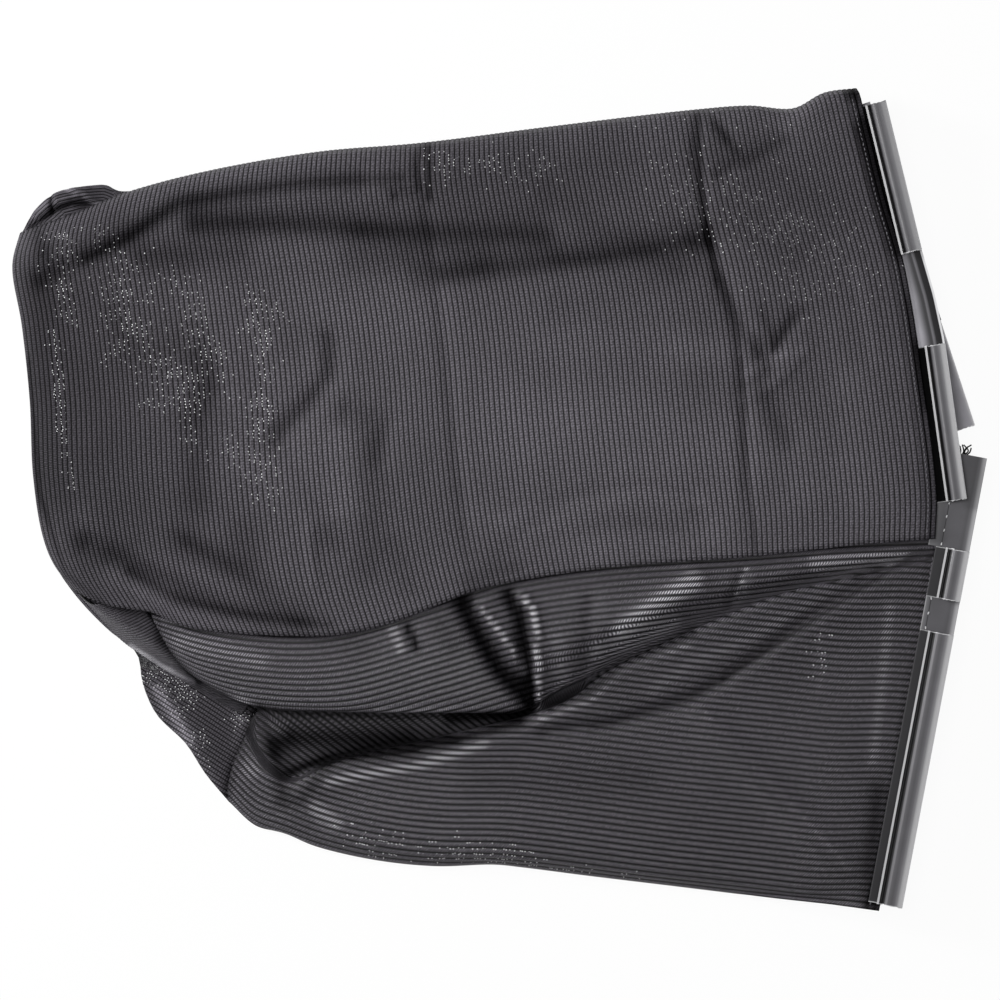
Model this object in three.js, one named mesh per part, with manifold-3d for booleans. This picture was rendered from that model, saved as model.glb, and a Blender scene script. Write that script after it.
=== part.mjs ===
// Soft grass collection bag of a walk-behind mower, emptied and lying on its side.
// X runs from the closed end to the mouth, Y across the bag, Z up from the floor. Millimetres.
// The bag is a tube of four mesh panels with a closed end. Lying down, the front side panel and
// the folded bottom panel make the upper layer, and two hidden panels make the lower layer.
// Two layers of stiff plastic strips with snap channels, sewn on at the mouth, grip a wire frame.

import * as THREE from 'three';
import Module from 'manifold-3d';
import { mergeVertices } from 'three/addons/utils/BufferGeometryUtils.js';

const wasm = await Module();
wasm.setup();

// Fabric
const meshThickness = 1.2;
const seatGap = 0.3;
const seamGap = 0.8;
const edgeRoll = 26;
const mouthEdgeRoll = 9;
const interiorHeight = 25;
const flapHeight = 9;
const flapRadius = 20;
const flapCentre = [-286, 190];
const leftCornerLift = 9;
const lowCornerLift = 14;
const crownHeight = 4;

// Plastic strips
const plasticWall = 1.4;
const bareFlangeStep = 0.2;
const rootOverlap = 0.1;
const channelHeight = 8.6;
const upperChannelWidth = 12.8;
const lowerChannelWidth = 16;
const upperFlangeWidth = 25;
const lowerFlangeWidth = 22;
const rearFlangeWidth = 22;
const lipReach = 3.4;
const lipDip = 2.2;

// Lengths along the strips, measured from each strip's upper end
const upperStripLength = 264;
const upperClipLengths = [[3, 99], [162, 264]];
const lowerStripLength = 297;
const lowerClipLengths = [[62, 95], [117, 297]];
const rearUpperStripLength = 222;
const rearUpperClipLengths = [[3, 99], [150, 222]];
const rearLowerStripLength = 286;
const rearLowerClipLengths = [[30, 80], [106, 286]];

// Clear height of the mouth between the two layers, and how far the lower layer lies flat
const mouthHeight = 9;
const rearRise = 95;
const mouthFlat = 17;

// Heights that follow from the stack of strips and fabric at the mouth
const halfMesh = meshThickness / 2;
const rearFlangeTop = channelHeight;
const rearMouth = rearFlangeTop + seatGap + halfMesh;
const bottomMouth = rearMouth + meshThickness + mouthHeight;
const lowerFlangeBase = bottomMouth + halfMesh + seatGap;
const upperFlangeBase = lowerFlangeBase + plasticWall + seatGap;
const frontMouth = upperFlangeBase + plasticWall + seatGap + halfMesh;
const floorLayer = halfMesh;
const rimLift = meshThickness + seatGap * 2;

// Outlines seen from above
const frontTop = [[-312, 173], [-298, 178], [-271, 188], [-245, 199], [-198, 212], [-120, 226],
  [-51, 232], [36, 243], [131, 254], [163, 256], [192, 254], [212, 264], [233, 267]];
const frontLeft = [[-279, -58], [-291, -42], [-298, -24], [-304, 15], [-306, 64], [-311, 113],
  [-317, 152], [-312, 173]];
const frontBottom = [[-279, -58], [-266, -65], [-252, -70], [-226, -74], [-205, -83], [-177, -87],
  [-144, -89], [-110, -89], [-77, -83], [-44, -71], [-19, -61], [10, -54], [70, -45], [159, -38],
  [235, -30], [283, -26]];
const frontMouthEdge = [[283, -26], [284, -1], [282, 25], [275, 77], [268, 124], [261, 159],
  [250, 197], [242, 230], [233, 267]];
const rearTop = [[-315, 168], [-304, 187], [-290, 199], [-276, 203], [-258, 205], [-247, 201],
  [-198, 210], [-120, 223], [-51, 229], [36, 240], [131, 251], [163, 253], [192, 251],
  [212, 260], [231, 264]];
const rearUpperLeft = [[-305, 40], [-311, 113], [-316, 152], [-315, 168]];
const rearSeam = [[-305, 40], [-200, 38], [-97, 38], [1, 36], [131, 38], [291, 44]];
const rearUpperMouth = [[291, 44], [261, 156], [231, 264]];
const rearLowerLeft = [[-177, -198], [-192, -180], [-205, -160], [-224, -141], [-233, -121],
  [-237, -101], [-256, -85], [-276, -64], [-291, -42], [-298, -24], [-303, 0], [-305, 40]];
const rearBottom = [[-177, -198], [-159, -214], [-139, -219], [-120, -227], [-81, -236],
  [-42, -240], [-3, -239], [56, -246], [114, -253], [173, -260], [212, -263], [239, -267]];
const rearLowerMouth = [[239, -267], [259, -157], [277, -40], [291, 44]];

// Right-hand edges of the strips, from their upper ends
const upperStripEdge = [[251, 258], [274, 163], [287, 104], [303, 0]];
const lowerStripEdge = [[317, 26], [263, -267]];
const rearUpperStripEdge = [[242, 259], [311, 48]];
const rearLowerStripEdge = [[297, 20], [256, -262]];

// Lines along the bottom panel, from its seam with the front panel round the folds to the
// outer edge. Each point is x, y and the height that the cloth stands there.
const pleatLines = [
  [[-224, -66, 15], [-170, -78, 18], [-110, -80, 19], [-44, -62, 20], [10, -46, 20],
    [70, -37, 20], [159, -31, 20], [235, -26, 20]],
  [[-226, -75, 17], [-177, -89, 20], [-110, -91, 22], [-44, -73, 22.5], [10, -56, 22.5],
    [70, -47, 22.5], [159, -40, 22], [235, -32, 21]],
  [[-220, -88, 19], [-194, -102, 22], [-155, -110, 24], [-110, -113, 25.5], [-64, -108, 26.5],
    [-32, -98, 26], [40, -92, 25], [79, -76, 25], [131, -61, 24.5], [196, -46, 24], [241, -38, 22]],
  [[-205, -110, 16], [-180, -126, 18], [-155, -135, 20], [-118, -137, 21.5], [-77, -138, 22],
    [-27, -138, 22], [14, -137, 20], [33, -124, 17], [53, -113, 17], [79, -95, 17],
    [118, -78, 17], [159, -65, 18], [196, -54, 19], [241, -42, 20]],
  [[-180, -126, 12], [-152, -132, 13], [-118, -132, 13], [-77, -132, 13.5], [-27, -132, 13],
    [14, -133, 12], [40, -124, 12], [66, -113, 12], [92, -100, 12.5], [131, -82, 13.5],
    [170, -69, 16], [206, -58, 18.5], [241, -45, 19.7]],
  [[-157, -135, 9], [-146, -150, 9], [-129, -160, 9], [-103, -158, 9], [-64, -149, 9],
    [-27, -145, 9], [14, -139, 9.5], [43, -126, 11], [69, -113, 11.5], [95, -100, 12],
    [133, -84, 13.3], [171, -70, 16], [206, -59, 18.5], [242, -47, 19.7]],
  [[-162, -145, 9], [-149, -167, 9], [-135, -181, 7], [-110, -171, 7], [-64, -162, 7],
    [-45, -158, 7], [-1, -147, 8], [23, -141, 9], [47, -132, 10], [72, -116, 10.5],
    [101, -101, 11], [131, -87, 12.5], [165, -73, 15.5], [203, -60, 18.5], [242, -49, 19.7]],
  [[-166, -156, 9.5], [-154, -178, 10], [-136, -186, 12], [-110, -174, 16], [-90, -168, 17.5],
    [-64, -162, 18.5], [-20, -152, 19.5], [23, -141, 20.5], [47, -131, 21], [70, -114, 22],
    [100, -99, 22.5], [129, -85, 23], [159, -72, 23.5], [196, -59, 23.5], [242, -51, 21]],
  [[-174, -175, 8], [-154, -196, 9], [-129, -200, 12], [-90, -189, 15], [-45, -180, 17],
    [23, -167, 18], [70, -154, 18.5], [131, -131, 19], [196, -108, 19], [248, -98, 19.5]],
  [[-177, -189, 6], [-157, -208, 7], [-123, -219, 8], [-81, -227, 10], [-22, -230, 12],
    [36, -233, 13], [98, -240, 13.5], [163, -246, 14.5], [212, -251, 17]],
  [[-177, -197, 3], [-159, -213, 3], [-139, -219, 3], [-120, -227, 3], [-81, -236, 3],
    [-42, -240, 3], [-3, -239, 3], [17, -241, 3], [56, -246, 3], [114, -253, 3],
    [173, -260, 5], [212, -264, 9]],
];
// Where each of those lines reaches the mouth
const pleatMouthEnds = [[290, -24], [290, -29], [289.5, -31], [289, -33.5], [288.8, -35],
  [288.6, -36.5], [288.4, -38], [288.2, -39.5], [279, -95], [253, -240], [247, -268]];

// Lines along the piece of the end panel that shows at the closed corner
const endLines = [
  [[-275, -62, 2], [-259, -80, 2], [-246, -93, 2], [-235, -101, 2], [-220, -111, 2],
    [-207, -119, 3], [-187, -131, 4], [-168, -141, 4.5]],
  [[-264, -69, 13], [-246, -80, 15.5], [-233, -89, 15], [-217, -101, 13.5], [-201, -113, 11],
    [-182, -124, 8.5], [-163, -134, 6.5]],
  [[-252, -66, 14.5], [-234, -70, 13.5], [-225, -81, 13], [-216, -93, 12], [-202, -104, 10.5],
    [-180, -117, 8.5], [-158, -127, 7.5]],
];

// Soft dents of the front panel and the bottom panel: two ends, half width and depth
const frontDents = [
  { from: [-290, 145], to: [-208, 188], spread: 12, depth: 3 },
  { from: [-208, 188], to: [-90, 207], spread: 12, depth: 3 },
  { from: [-190, 184], to: [25, 179], spread: 13, depth: 2.4 },
  { from: [-40, 146], to: [138, 171], spread: 14, depth: 2.4 },
  { from: [-50, 225], to: [-46, 192], spread: 8, depth: 3 },
  { from: [128, 245], to: [136, 184], spread: 9, depth: 3 },
  { from: [136, 184], to: [158, 70], spread: 9, depth: 2 },
  { from: [158, 70], to: [162, -30], spread: 10, depth: 1.4 },
  { from: [-44, 188], to: [-20, -50], spread: 10, depth: 1.2 },
  { from: [-108, 95], to: [-138, 46], spread: 12, depth: 2.2 },
  { from: [-76, 50], to: [-80, 26], spread: 12, depth: 1.8 },
  { from: [-258, -34], to: [-190, -66], spread: 11, depth: 3.2 },
  { from: [-190, -66], to: [-128, -84], spread: 10, depth: 2 },
  { from: [165, 104], to: [178, 90], spread: 12, depth: 2.6 },
  { from: [182, 52], to: [188, 40], spread: 14, depth: 2 },
  { from: [198, 236], to: [202, 238], spread: 17, depth: -3 },
  { from: [-4, -42], to: [46, -2], spread: 12, depth: 2 },
  { from: [46, -2], to: [128, 2], spread: 12, depth: 1.6 },
];
const bottomDents = [
  { from: [18, -132], to: [-26, -68], spread: 7, depth: 6 },
  { from: [22, -130], to: [7, -62], spread: 6, depth: 4 },
  { from: [200, -60], to: [60, -160], spread: 14, depth: 2.5 },
  { from: [128, -150], to: [215, -236], spread: 16, depth: 2.5 },
];

const fabricColour = { front: 0x3b3b3f, bottom: 0x2f3033, rear: 0x2c2c2f, end: 0x303033 };
const plasticColour = 0x5d5f66;

function clamp01(value) {
  return Math.min(Math.max(value, 0), 1);
}

function smooth(value) {
  const t = clamp01(value);
  return t * t * (3 - 2 * t);
}

// A quarter round that climbs from a rim to full height
function roll(distance, width) {
  const t = 1 - clamp01(distance / width);
  return Math.sqrt(1 - t * t);
}

function curveThrough(points) {
  const vectors = points.map((p) => new THREE.Vector3(p[0], p[1], p[2] ?? 0));
  return new THREE.CatmullRomCurve3(vectors, false, 'centripetal');
}

// Distance from a point to the stretch between two others, seen from above
function distanceToLine(x, y, from, to) {
  const dx = to[0] - from[0];
  const dy = to[1] - from[1];
  const along = clamp01(((x - from[0]) * dx + (y - from[1]) * dy) / (dx * dx + dy * dy));
  return Math.hypot(x - from[0] - dx * along, y - from[1] - dy * along);
}

function dentDepth(x, y, dents) {
  return dents.reduce((sum, dent) => {
    const offset = distanceToLine(x, y, dent.from, dent.to) / dent.spread;
    return sum + dent.depth * Math.exp(-offset * offset);
  }, 0);
}

// Rows and columns that lie closer together near both ends
function spreadSteps(count) {
  return Array.from({ length: count + 1 }, (_, i) => {
    const t = i / count;
    return t - 0.11 * Math.sin(2 * Math.PI * t);
  });
}

// Plan of a four-sided cloth between its edges, as rows from the bottom edge to the top edge
function planGrid(edges, columns, rows) {
  const [bottom, top, left, right] = edges.map(curveThrough);
  const corners = [bottom.getPoint(0), bottom.getPoint(1), top.getPoint(0), top.getPoint(1)];
  return spreadSteps(rows).map((v) => {
    const l = left.getPointAt(clamp01(v));
    const r = right.getPointAt(clamp01(v));
    return spreadSteps(columns).map((u) => {
      const b = bottom.getPointAt(clamp01(u));
      const t = top.getPointAt(clamp01(u));
      const blend = (axis) => (1 - v) * b[axis] + v * t[axis] + (1 - u) * l[axis] + u * r[axis]
        - (1 - u) * (1 - v) * corners[0][axis] - u * (1 - v) * corners[1][axis]
        - (1 - u) * v * corners[2][axis] - u * v * corners[3][axis];
      return { u, v, point: new THREE.Vector3(blend('x'), blend('y'), 0) };
    });
  });
}

function surfaceNormals(grid) {
  const last = grid.length - 1;
  const end = grid[0].length - 1;
  return grid.map((row, i) => row.map((_, j) => {
    const across = new THREE.Vector3().subVectors(
      grid[Math.min(i + 1, last)][j], grid[Math.max(i - 1, 0)][j]);
    const along = new THREE.Vector3().subVectors(
      row[Math.min(j + 1, end)], row[Math.max(j - 1, 0)]);
    return new THREE.Vector3().crossVectors(along, across).normalize();
  }));
}

function geometryOf(positions, triangles) {
  const geometry = new THREE.BufferGeometry();
  geometry.setAttribute('position', new THREE.Float32BufferAttribute(positions, 3));
  geometry.setIndex(triangles);
  return geometry;
}

// Closed cloth of even thickness about a grid of points
function clothSolid(grid, thickness) {
  const normals = surfaceNormals(grid);
  const rows = grid.length;
  const columns = grid[0].length;
  const positions = [];
  for (const side of [1, -1]) {
    grid.forEach((row, i) => row.forEach((point, j) => {
      const moved = point.clone().addScaledVector(normals[i][j], side * thickness / 2);
      positions.push(moved.x, moved.y, moved.z);
    }));
  }
  const upper = (i, j) => i * columns + j;
  const lower = (i, j) => rows * columns + upper(i, j);
  const triangles = [];
  const quad = (a, b, c, d) => triangles.push(a, b, c, a, c, d);
  for (let i = 0; i < rows - 1; i += 1) {
    for (let j = 0; j < columns - 1; j += 1) {
      quad(upper(i, j), upper(i, j + 1), upper(i + 1, j + 1), upper(i + 1, j));
      quad(lower(i, j), lower(i + 1, j), lower(i + 1, j + 1), lower(i, j + 1));
    }
    quad(upper(i, 0), upper(i + 1, 0), lower(i + 1, 0), lower(i, 0));
    quad(upper(i, columns - 1), lower(i, columns - 1), lower(i + 1, columns - 1),
      upper(i + 1, columns - 1));
  }
  for (let j = 0; j < columns - 1; j += 1) {
    quad(upper(0, j), lower(0, j), lower(0, j + 1), upper(0, j + 1));
    quad(upper(rows - 1, j), upper(rows - 1, j + 1), lower(rows - 1, j + 1), lower(rows - 1, j));
  }
  return geometryOf(positions, triangles);
}

// Height of the lower layer: flat on the floor, then rising onto the strips at the mouth
function rearHeight(x, y) {
  const edge = y > rearSeam.at(-1)[1] ? rearUpperMouth : rearLowerMouth;
  const distance = Math.min(...edge.slice(1).map((point, i) => distanceToLine(x, y, edge[i], point)));
  const lift = smooth((rearRise - Math.max(distance - mouthFlat, 0)) / rearRise);
  return floorLayer + (rearMouth - floorLayer) * lift;
}

function frontPanel() {
  const edges = [frontBottom, frontTop, frontLeft, frontMouthEdge];
  const seamHeights = curveThrough(pleatLines[1]);
  const grid = planGrid(edges, 34, 24);
  const length = 590;
  const width = 290;
  return clothSolid(grid.map((row) => row.map(({ u, v, point }) => {
    const { x, y } = point;
    const fromMouth = (1 - u) * length - mouthFlat;
    const fromLeft = u * length;
    const fromTop = (1 - v) * width;
    const fromBottom = v * width;
    const leftLift = leftCornerLift * (1 - smooth((x + 285) / 60)) * v;
    const rimHeight = rearHeight(x, y) + rimLift + leftLift;
    const seamHeight = seamHeights.getPointAt(clamp01(u)).z + rimLift + meshThickness;
    const crown = crownHeight * Math.sin(Math.PI * clamp01(v)) * Math.sin(Math.PI * clamp01(u));
    let height = interiorHeight + crown - dentDepth(x, y, frontDents);
    height = THREE.MathUtils.lerp(seamHeight, height, smooth(fromBottom / 70));
    height = THREE.MathUtils.lerp(frontMouth, height, smooth(fromMouth / 90));
    const lowCorner = lowCornerLift * (1 - smooth(fromBottom / 40)) * smooth(fromLeft / 30);
    const leftRim = rimHeight + lowCorner;
    height = THREE.MathUtils.lerp(leftRim, height, roll(fromLeft, edgeRoll));
    const topRoll = THREE.MathUtils.lerp(mouthEdgeRoll, edgeRoll, smooth((fromMouth - 20) / 100));
    height = THREE.MathUtils.lerp(rimHeight, height, roll(fromTop, topRoll));
    return new THREE.Vector3(x, y, height);
  })), meshThickness);
}

// Cloth drawn through lines that run side by side
function clothThrough(lines, columns, rows) {
  const curves = lines.map(curveThrough);
  const stations = Array.from({ length: columns + 1 }, (_, j) => j / columns);
  const ribs = stations.map((t) => {
    const points = curves.map((curve) => curve.getPointAt(t));
    return new THREE.CatmullRomCurve3(points, false, 'centripetal');
  });
  return Array.from({ length: rows + 1 }, (_, i) => ribs.map((rib) => rib.getPoint(i / rows)));
}

function bottomPanel() {
  const lines = pleatLines.map((line, i) => [...line, [...pleatMouthEnds[i], bottomMouth]]);
  const grid = clothThrough(lines, 34, 30);
  grid.flat().forEach((point) => {
    point.z -= dentDepth(point.x, point.y, bottomDents) * smooth((point.z - 14) / 4);
    point.z = Math.max(point.z, rearHeight(point.x, point.y) + rimLift);
  });
  return clothSolid(grid.reverse(), meshThickness);
}

function endPanel() {
  const grid = clothThrough(endLines, 10, 6);
  grid.flat().forEach((point) => {
    point.z = Math.max(point.z, rearHeight(point.x, point.y) + meshThickness + seatGap);
  });
  return clothSolid(grid, meshThickness);
}

// The upper edge of a rear panel is drawn back where another panel meets it
function rearPanel(edges, columns, rows, drawBack) {
  return clothSolid(planGrid(edges, columns, rows).map((row) => row.map(({ v, point }) => {
    const { x } = point;
    const y = point.y - drawBack * v;
    const fromFlap = Math.hypot(x - flapCentre[0], y - flapCentre[1]) / flapRadius;
    const flap = flapHeight * Math.exp(-fromFlap * fromFlap);
    return new THREE.Vector3(x, y, rearHeight(x, y) + flap);
  })), meshThickness);
}

// Section of the snap channel: across from the strip's outer edge inwards, and up from its base
function channelSection(width) {
  const radius = channelHeight / 2;
  const middle = plasticWall / 2;
  const bend = radius - middle;
  const line = [];
  const start = -width * 0.72;
  line.push([start, middle]);
  for (let i = 0; i <= 8; i += 1) {
    const angle = -Math.PI / 2 + Math.PI * i / 8;
    line.push([-radius + bend * Math.cos(angle), radius + bend * Math.sin(angle)]);
  }
  line.push([-width + lipReach, channelHeight - middle - 0.5]);
  line.push([-width + lipReach * 0.62, channelHeight - middle - lipDip]);
  line.push([-width + middle, channelHeight - middle - lipDip * 0.35]);
  return thickened(line, plasticWall);
}

// Closed outline of even thickness about an open line
function thickened(line, thickness) {
  const side = (sign) => line.map((point, i) => {
    const before = line[Math.max(i - 1, 0)];
    const after = line[Math.min(i + 1, line.length - 1)];
    const dx = after[0] - before[0];
    const dy = after[1] - before[1];
    const size = Math.hypot(dx, dy);
    return [point[0] - sign * dy / size * thickness / 2, point[1] + sign * dx / size * thickness / 2];
  });
  return [...side(1), ...side(-1).reverse()];
}

function flangeSection(width, thickness) {
  return [[-width, 0], [0, 0], [0, thickness], [-width, thickness]];
}

// Stretches of a strip that carry no channel
function bareStretches(length, clips) {
  const starts = [0, ...clips.map((clip) => clip[1])];
  const ends = [...clips.map((clip) => clip[0]), length];
  return starts.map((from, i) => [from, ends[i]]).filter(([from, to]) => to - from > 4);
}

function outlineOf(section) {
  return section.map(([across, up]) => new THREE.Vector2(across, up));
}

// Point and outward direction at a distance along a strip's edge
function edgeStation(edge, distance) {
  let rest = distance;
  for (let i = 0; i < edge.length - 1; i += 1) {
    const [ax, ay] = edge[i];
    const [bx, by] = edge[i + 1];
    const size = Math.hypot(bx - ax, by - ay);
    if (rest <= size || i === edge.length - 2) {
      const run = [(bx - ax) / size, (by - ay) / size];
      return { x: ax + run[0] * rest, y: ay + run[1] * rest, outward: [-run[1], run[0]] };
    }
    rest -= size;
  }
  return null;
}

// Solid swept along a strip's edge between two distances. Facing is 1 for channels that look up
// and -1 for channels that look down.
function sweptSolid(edge, profile, from, to, base, facing) {
  const clockwise = THREE.ShapeUtils.isClockWise(outlineOf(profile));
  const section = clockwise ? [...profile].reverse() : profile;
  const bends = edge.slice(1, -1).map((_, i) => edgeLength(edge, i + 1))
    .filter((distance) => distance > from + 1 && distance < to - 1);
  const stations = [from, ...bends, to].map((distance) => edgeStation(edge, distance));
  const positions = [];
  stations.forEach(({ x, y, outward }) => section.forEach(([across, up]) => {
    positions.push(x + outward[0] * across, y + outward[1] * across, base + facing * up);
  }));
  const size = section.length;
  const triangles = [];
  for (let s = 0; s < stations.length - 1; s += 1) {
    for (let k = 0; k < size; k += 1) {
      const a = s * size + k;
      const b = s * size + (k + 1) % size;
      triangles.push(a, b, b + size, a, b + size, a + size);
    }
  }
  const cap = THREE.ShapeUtils.triangulateShape(outlineOf(section), []);
  const end = (stations.length - 1) * size;
  cap.forEach(([a, b, c]) => triangles.push(a, c, b, end + a, end + b, end + c));
  return manifoldOf(geometryOf(positions, triangles));
}

function edgeLength(edge, count) {
  let sum = 0;
  for (let i = 0; i < count; i += 1) {
    sum += Math.hypot(edge[i + 1][0] - edge[i][0], edge[i + 1][1] - edge[i][1]);
  }
  return sum;
}

function signedVolume(positions, triangles) {
  const corner = (k) => new THREE.Vector3().fromArray(positions, 3 * triangles[k]);
  let sum = 0;
  for (let k = 0; k < triangles.length; k += 3) {
    sum += corner(k).dot(corner(k + 1).cross(corner(k + 2))) / 6;
  }
  return sum;
}

function manifoldOf(geometry) {
  const merged = mergeVertices(geometry, 1e-4);
  const positions = Array.from(merged.attributes.position.array);
  const triangles = Array.from(merged.index.array);
  if (signedVolume(positions, triangles) < 0) triangles.reverse();
  return new wasm.Manifold(new wasm.Mesh({
    numProp: 3,
    vertProperties: new Float32Array(positions),
    triVerts: new Uint32Array(triangles),
  }));
}

function clipStrip({ edge, length, clips, channelWidth, flangeWidth, base, facing }) {
  const thin = flangeSection(flangeWidth, plasticWall);
  const thick = flangeSection(flangeWidth, plasticWall + bareFlangeStep);
  let solid = sweptSolid(edge, thin, 0, length, base, facing);
  // The root of the channel that was cut away leaves the bare flange a little thicker, and runs
  // a little way into the channels beside it
  for (const [from, to] of bareStretches(length, clips)) {
    const start = Math.max(from - rootOverlap, 0);
    const end = Math.min(to + rootOverlap, length);
    solid = solid.add(sweptSolid(edge, thick, start, end, base, facing));
  }
  for (const [from, to] of clips) {
    const section = channelSection(channelWidth);
    solid = solid.add(sweptSolid(edge, section, from, Math.min(to, length), base, facing));
  }
  const mesh = solid.getMesh();
  return geometryOf(Array.from(mesh.vertProperties), Array.from(mesh.triVerts));
}

function named(name, geometry, color, roughness) {
  const material = new THREE.MeshStandardMaterial({ color, roughness, metalness: 0 });
  const mesh = new THREE.Mesh(geometry, material);
  mesh.name = name;
  return mesh;
}

function outward(geometry) {
  const positions = Array.from(geometry.attributes.position.array);
  const triangles = Array.from(geometry.index.array);
  if (signedVolume(positions, triangles) < 0) geometry.setIndex(triangles.reverse());
  return geometry;
}

const bag = new THREE.Group();
bag.add(named('front_side_panel', outward(frontPanel()), fabricColour.front, 0.85));
bag.add(named('bottom_panel', outward(bottomPanel()), fabricColour.bottom, 0.6));
bag.add(named('end_panel', outward(endPanel()), fabricColour.end, 0.7));
bag.add(named('rear_side_panel', outward(rearPanel(
  [rearSeam, rearTop, rearUpperLeft, rearUpperMouth], 24, 8, 0)), fabricColour.rear, 0.85));
bag.add(named('rear_top_panel', outward(rearPanel(
  [rearBottom, rearSeam, rearLowerLeft, rearLowerMouth], 24, 10, seamGap)),
fabricColour.rear, 0.85));

const strips = {
  upper_clip_strip: {
    edge: upperStripEdge, length: upperStripLength, clips: upperClipLengths, facing: 1,
    channelWidth: upperChannelWidth, flangeWidth: upperFlangeWidth, base: upperFlangeBase,
  },
  lower_clip_strip: {
    edge: lowerStripEdge, length: lowerStripLength, clips: lowerClipLengths, facing: 1,
    channelWidth: lowerChannelWidth, flangeWidth: lowerFlangeWidth, base: lowerFlangeBase,
  },
  rear_upper_clip_strip: {
    edge: rearUpperStripEdge, length: rearUpperStripLength, clips: rearUpperClipLengths,
    channelWidth: upperChannelWidth, flangeWidth: rearFlangeWidth, base: rearFlangeTop, facing: -1,
  },
  rear_lower_clip_strip: {
    edge: rearLowerStripEdge, length: rearLowerStripLength, clips: rearLowerClipLengths,
    channelWidth: lowerChannelWidth, flangeWidth: rearFlangeWidth, base: rearFlangeTop, facing: -1,
  },
};
for (const [name, strip] of Object.entries(strips)) {
  bag.add(named(name, outward(clipStrip(strip)), plasticColour, 0.45));
}

// The origin lies on the floor under the middle of the bag
const reach = new THREE.Box3().setFromObject(bag);
const middle = reach.getCenter(new THREE.Vector3());
bag.position.set(-middle.x, -middle.y, -reach.min.z);

export default bag;
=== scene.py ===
# %% [markdown]
# # A mower's grass collection bag, dressed in Blender
#
# The bag is soft: four panels of ribbed polyester mesh and a small end panel are sewn into a tube
# with one closed end. Emptied and laid on its side it is only about 30 mm high. Stiff PVC strips
# with snap channels are sewn to the open mouth, and grip the wire frame of the mower's collector.
#
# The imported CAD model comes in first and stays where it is. Each cloth panel is then drawn again
# on a much finer grid, so that the ribs and the small folds are real shapes, and takes the place
# of its plain CAD solid. The strips are drawn again too, with the groove and the rough cuts.

import bmesh
import bpy
import numpy as np
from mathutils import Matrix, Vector


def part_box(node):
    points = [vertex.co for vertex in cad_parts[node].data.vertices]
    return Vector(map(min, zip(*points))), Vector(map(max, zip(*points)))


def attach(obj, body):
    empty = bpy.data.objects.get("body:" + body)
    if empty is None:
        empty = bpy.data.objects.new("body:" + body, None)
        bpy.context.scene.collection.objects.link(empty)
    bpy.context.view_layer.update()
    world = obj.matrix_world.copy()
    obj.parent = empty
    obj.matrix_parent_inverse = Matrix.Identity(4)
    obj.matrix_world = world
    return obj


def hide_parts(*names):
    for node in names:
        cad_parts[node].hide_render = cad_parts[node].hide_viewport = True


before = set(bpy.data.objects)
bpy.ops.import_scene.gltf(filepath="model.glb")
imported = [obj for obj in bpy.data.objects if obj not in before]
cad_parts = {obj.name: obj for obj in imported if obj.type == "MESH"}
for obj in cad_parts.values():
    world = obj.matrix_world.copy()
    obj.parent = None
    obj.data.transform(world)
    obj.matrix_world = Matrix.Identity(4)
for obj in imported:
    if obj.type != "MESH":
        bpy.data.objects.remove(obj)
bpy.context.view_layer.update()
print("CAD nodes:", sorted(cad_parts))

# %% [markdown]
# ## Sizes
#
# The bag is drawn in millimetres, as a maker would write it, and becomes metres only where a mesh
# is made. The floor, the lights and the camera are in metres. The bag's own outline was drawn
# about a point near its middle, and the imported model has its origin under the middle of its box,
# so one small shift joins the two. The ends of two strips give it: their corners are known in both.

# %% Driving sizes
MM = 0.001
MESH_THICKNESS = 1.2
SEAT_GAP = 0.3
SEAM_GAP = 0.8
EDGE_ROLL = 26
MOUTH_EDGE_ROLL = 9
INTERIOR_HEIGHT = 25
CROWN_HEIGHT = 4
LEFT_CORNER_LIFT = 9
LOW_CORNER_LIFT = 14
FLAP_HEIGHT = 9
FLAP_RADIUS = 20
FLAP_CENTRE = (-286, 190)
PLASTIC_WALL = 1.4
CHANNEL_HEIGHT = 8.6
MOUTH_HEIGHT = 9
REAR_RISE = 95
MOUTH_FLAT = 17
FRONT_RIB_PITCH = 3.38
BOTTOM_RIB_PITCH = 4.1
RECESS_RIB_PITCH = 3.7
END_RIB_PITCH = 2.1
CORNER_RIB_PITCH = 2.6
RIB_HEIGHT = 0.42

LOWER_STRIP_CORNER = 317
UPPER_STRIP_CORNER = 258
shift = np.array([
    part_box("lower_clip_strip")[1].x / MM - LOWER_STRIP_CORNER,
    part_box("upper_clip_strip")[1].y / MM - UPPER_STRIP_CORNER,
    0.0,
])
print("shift from the drawing to the frame, mm:", shift.round(2))

# %% Heights of the stack at the mouth
REAR_MOUTH = CHANNEL_HEIGHT + SEAT_GAP + MESH_THICKNESS / 2
BOTTOM_MOUTH = REAR_MOUTH + MESH_THICKNESS + MOUTH_HEIGHT
LOWER_FLANGE_BASE = BOTTOM_MOUTH + MESH_THICKNESS / 2 + SEAT_GAP
UPPER_FLANGE_BASE = LOWER_FLANGE_BASE + PLASTIC_WALL + SEAT_GAP
FRONT_MOUTH = UPPER_FLANGE_BASE + PLASTIC_WALL + SEAT_GAP + MESH_THICKNESS / 2
RIM_LIFT = MESH_THICKNESS + SEAT_GAP * 2
print("cloth stands at the mouth at", REAR_MOUTH, BOTTOM_MOUTH, FRONT_MOUTH, "mm")

# %% [markdown]
# ## Outlines
#
# The outline of a cloth panel is a smooth line through a few points. The same kind of line that
# the CAD uses, a centripetal Catmull-Rom curve, gives the same edge here, so the fine panels end
# exactly where the plain ones do.

# %% Smooth lines through points
LEAST_KNOT = 1e-6
LEAST_LENGTH = 1e-9


def smooth(value):
    t = np.clip(value, 0, 1)
    return t * t * (3 - 2 * t)


def ramp(value, start, width):
    """Climbs from 0 at a start to 1 a width further, upwards or, if the width is minus, down."""
    return smooth((value - start) / width)


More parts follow.
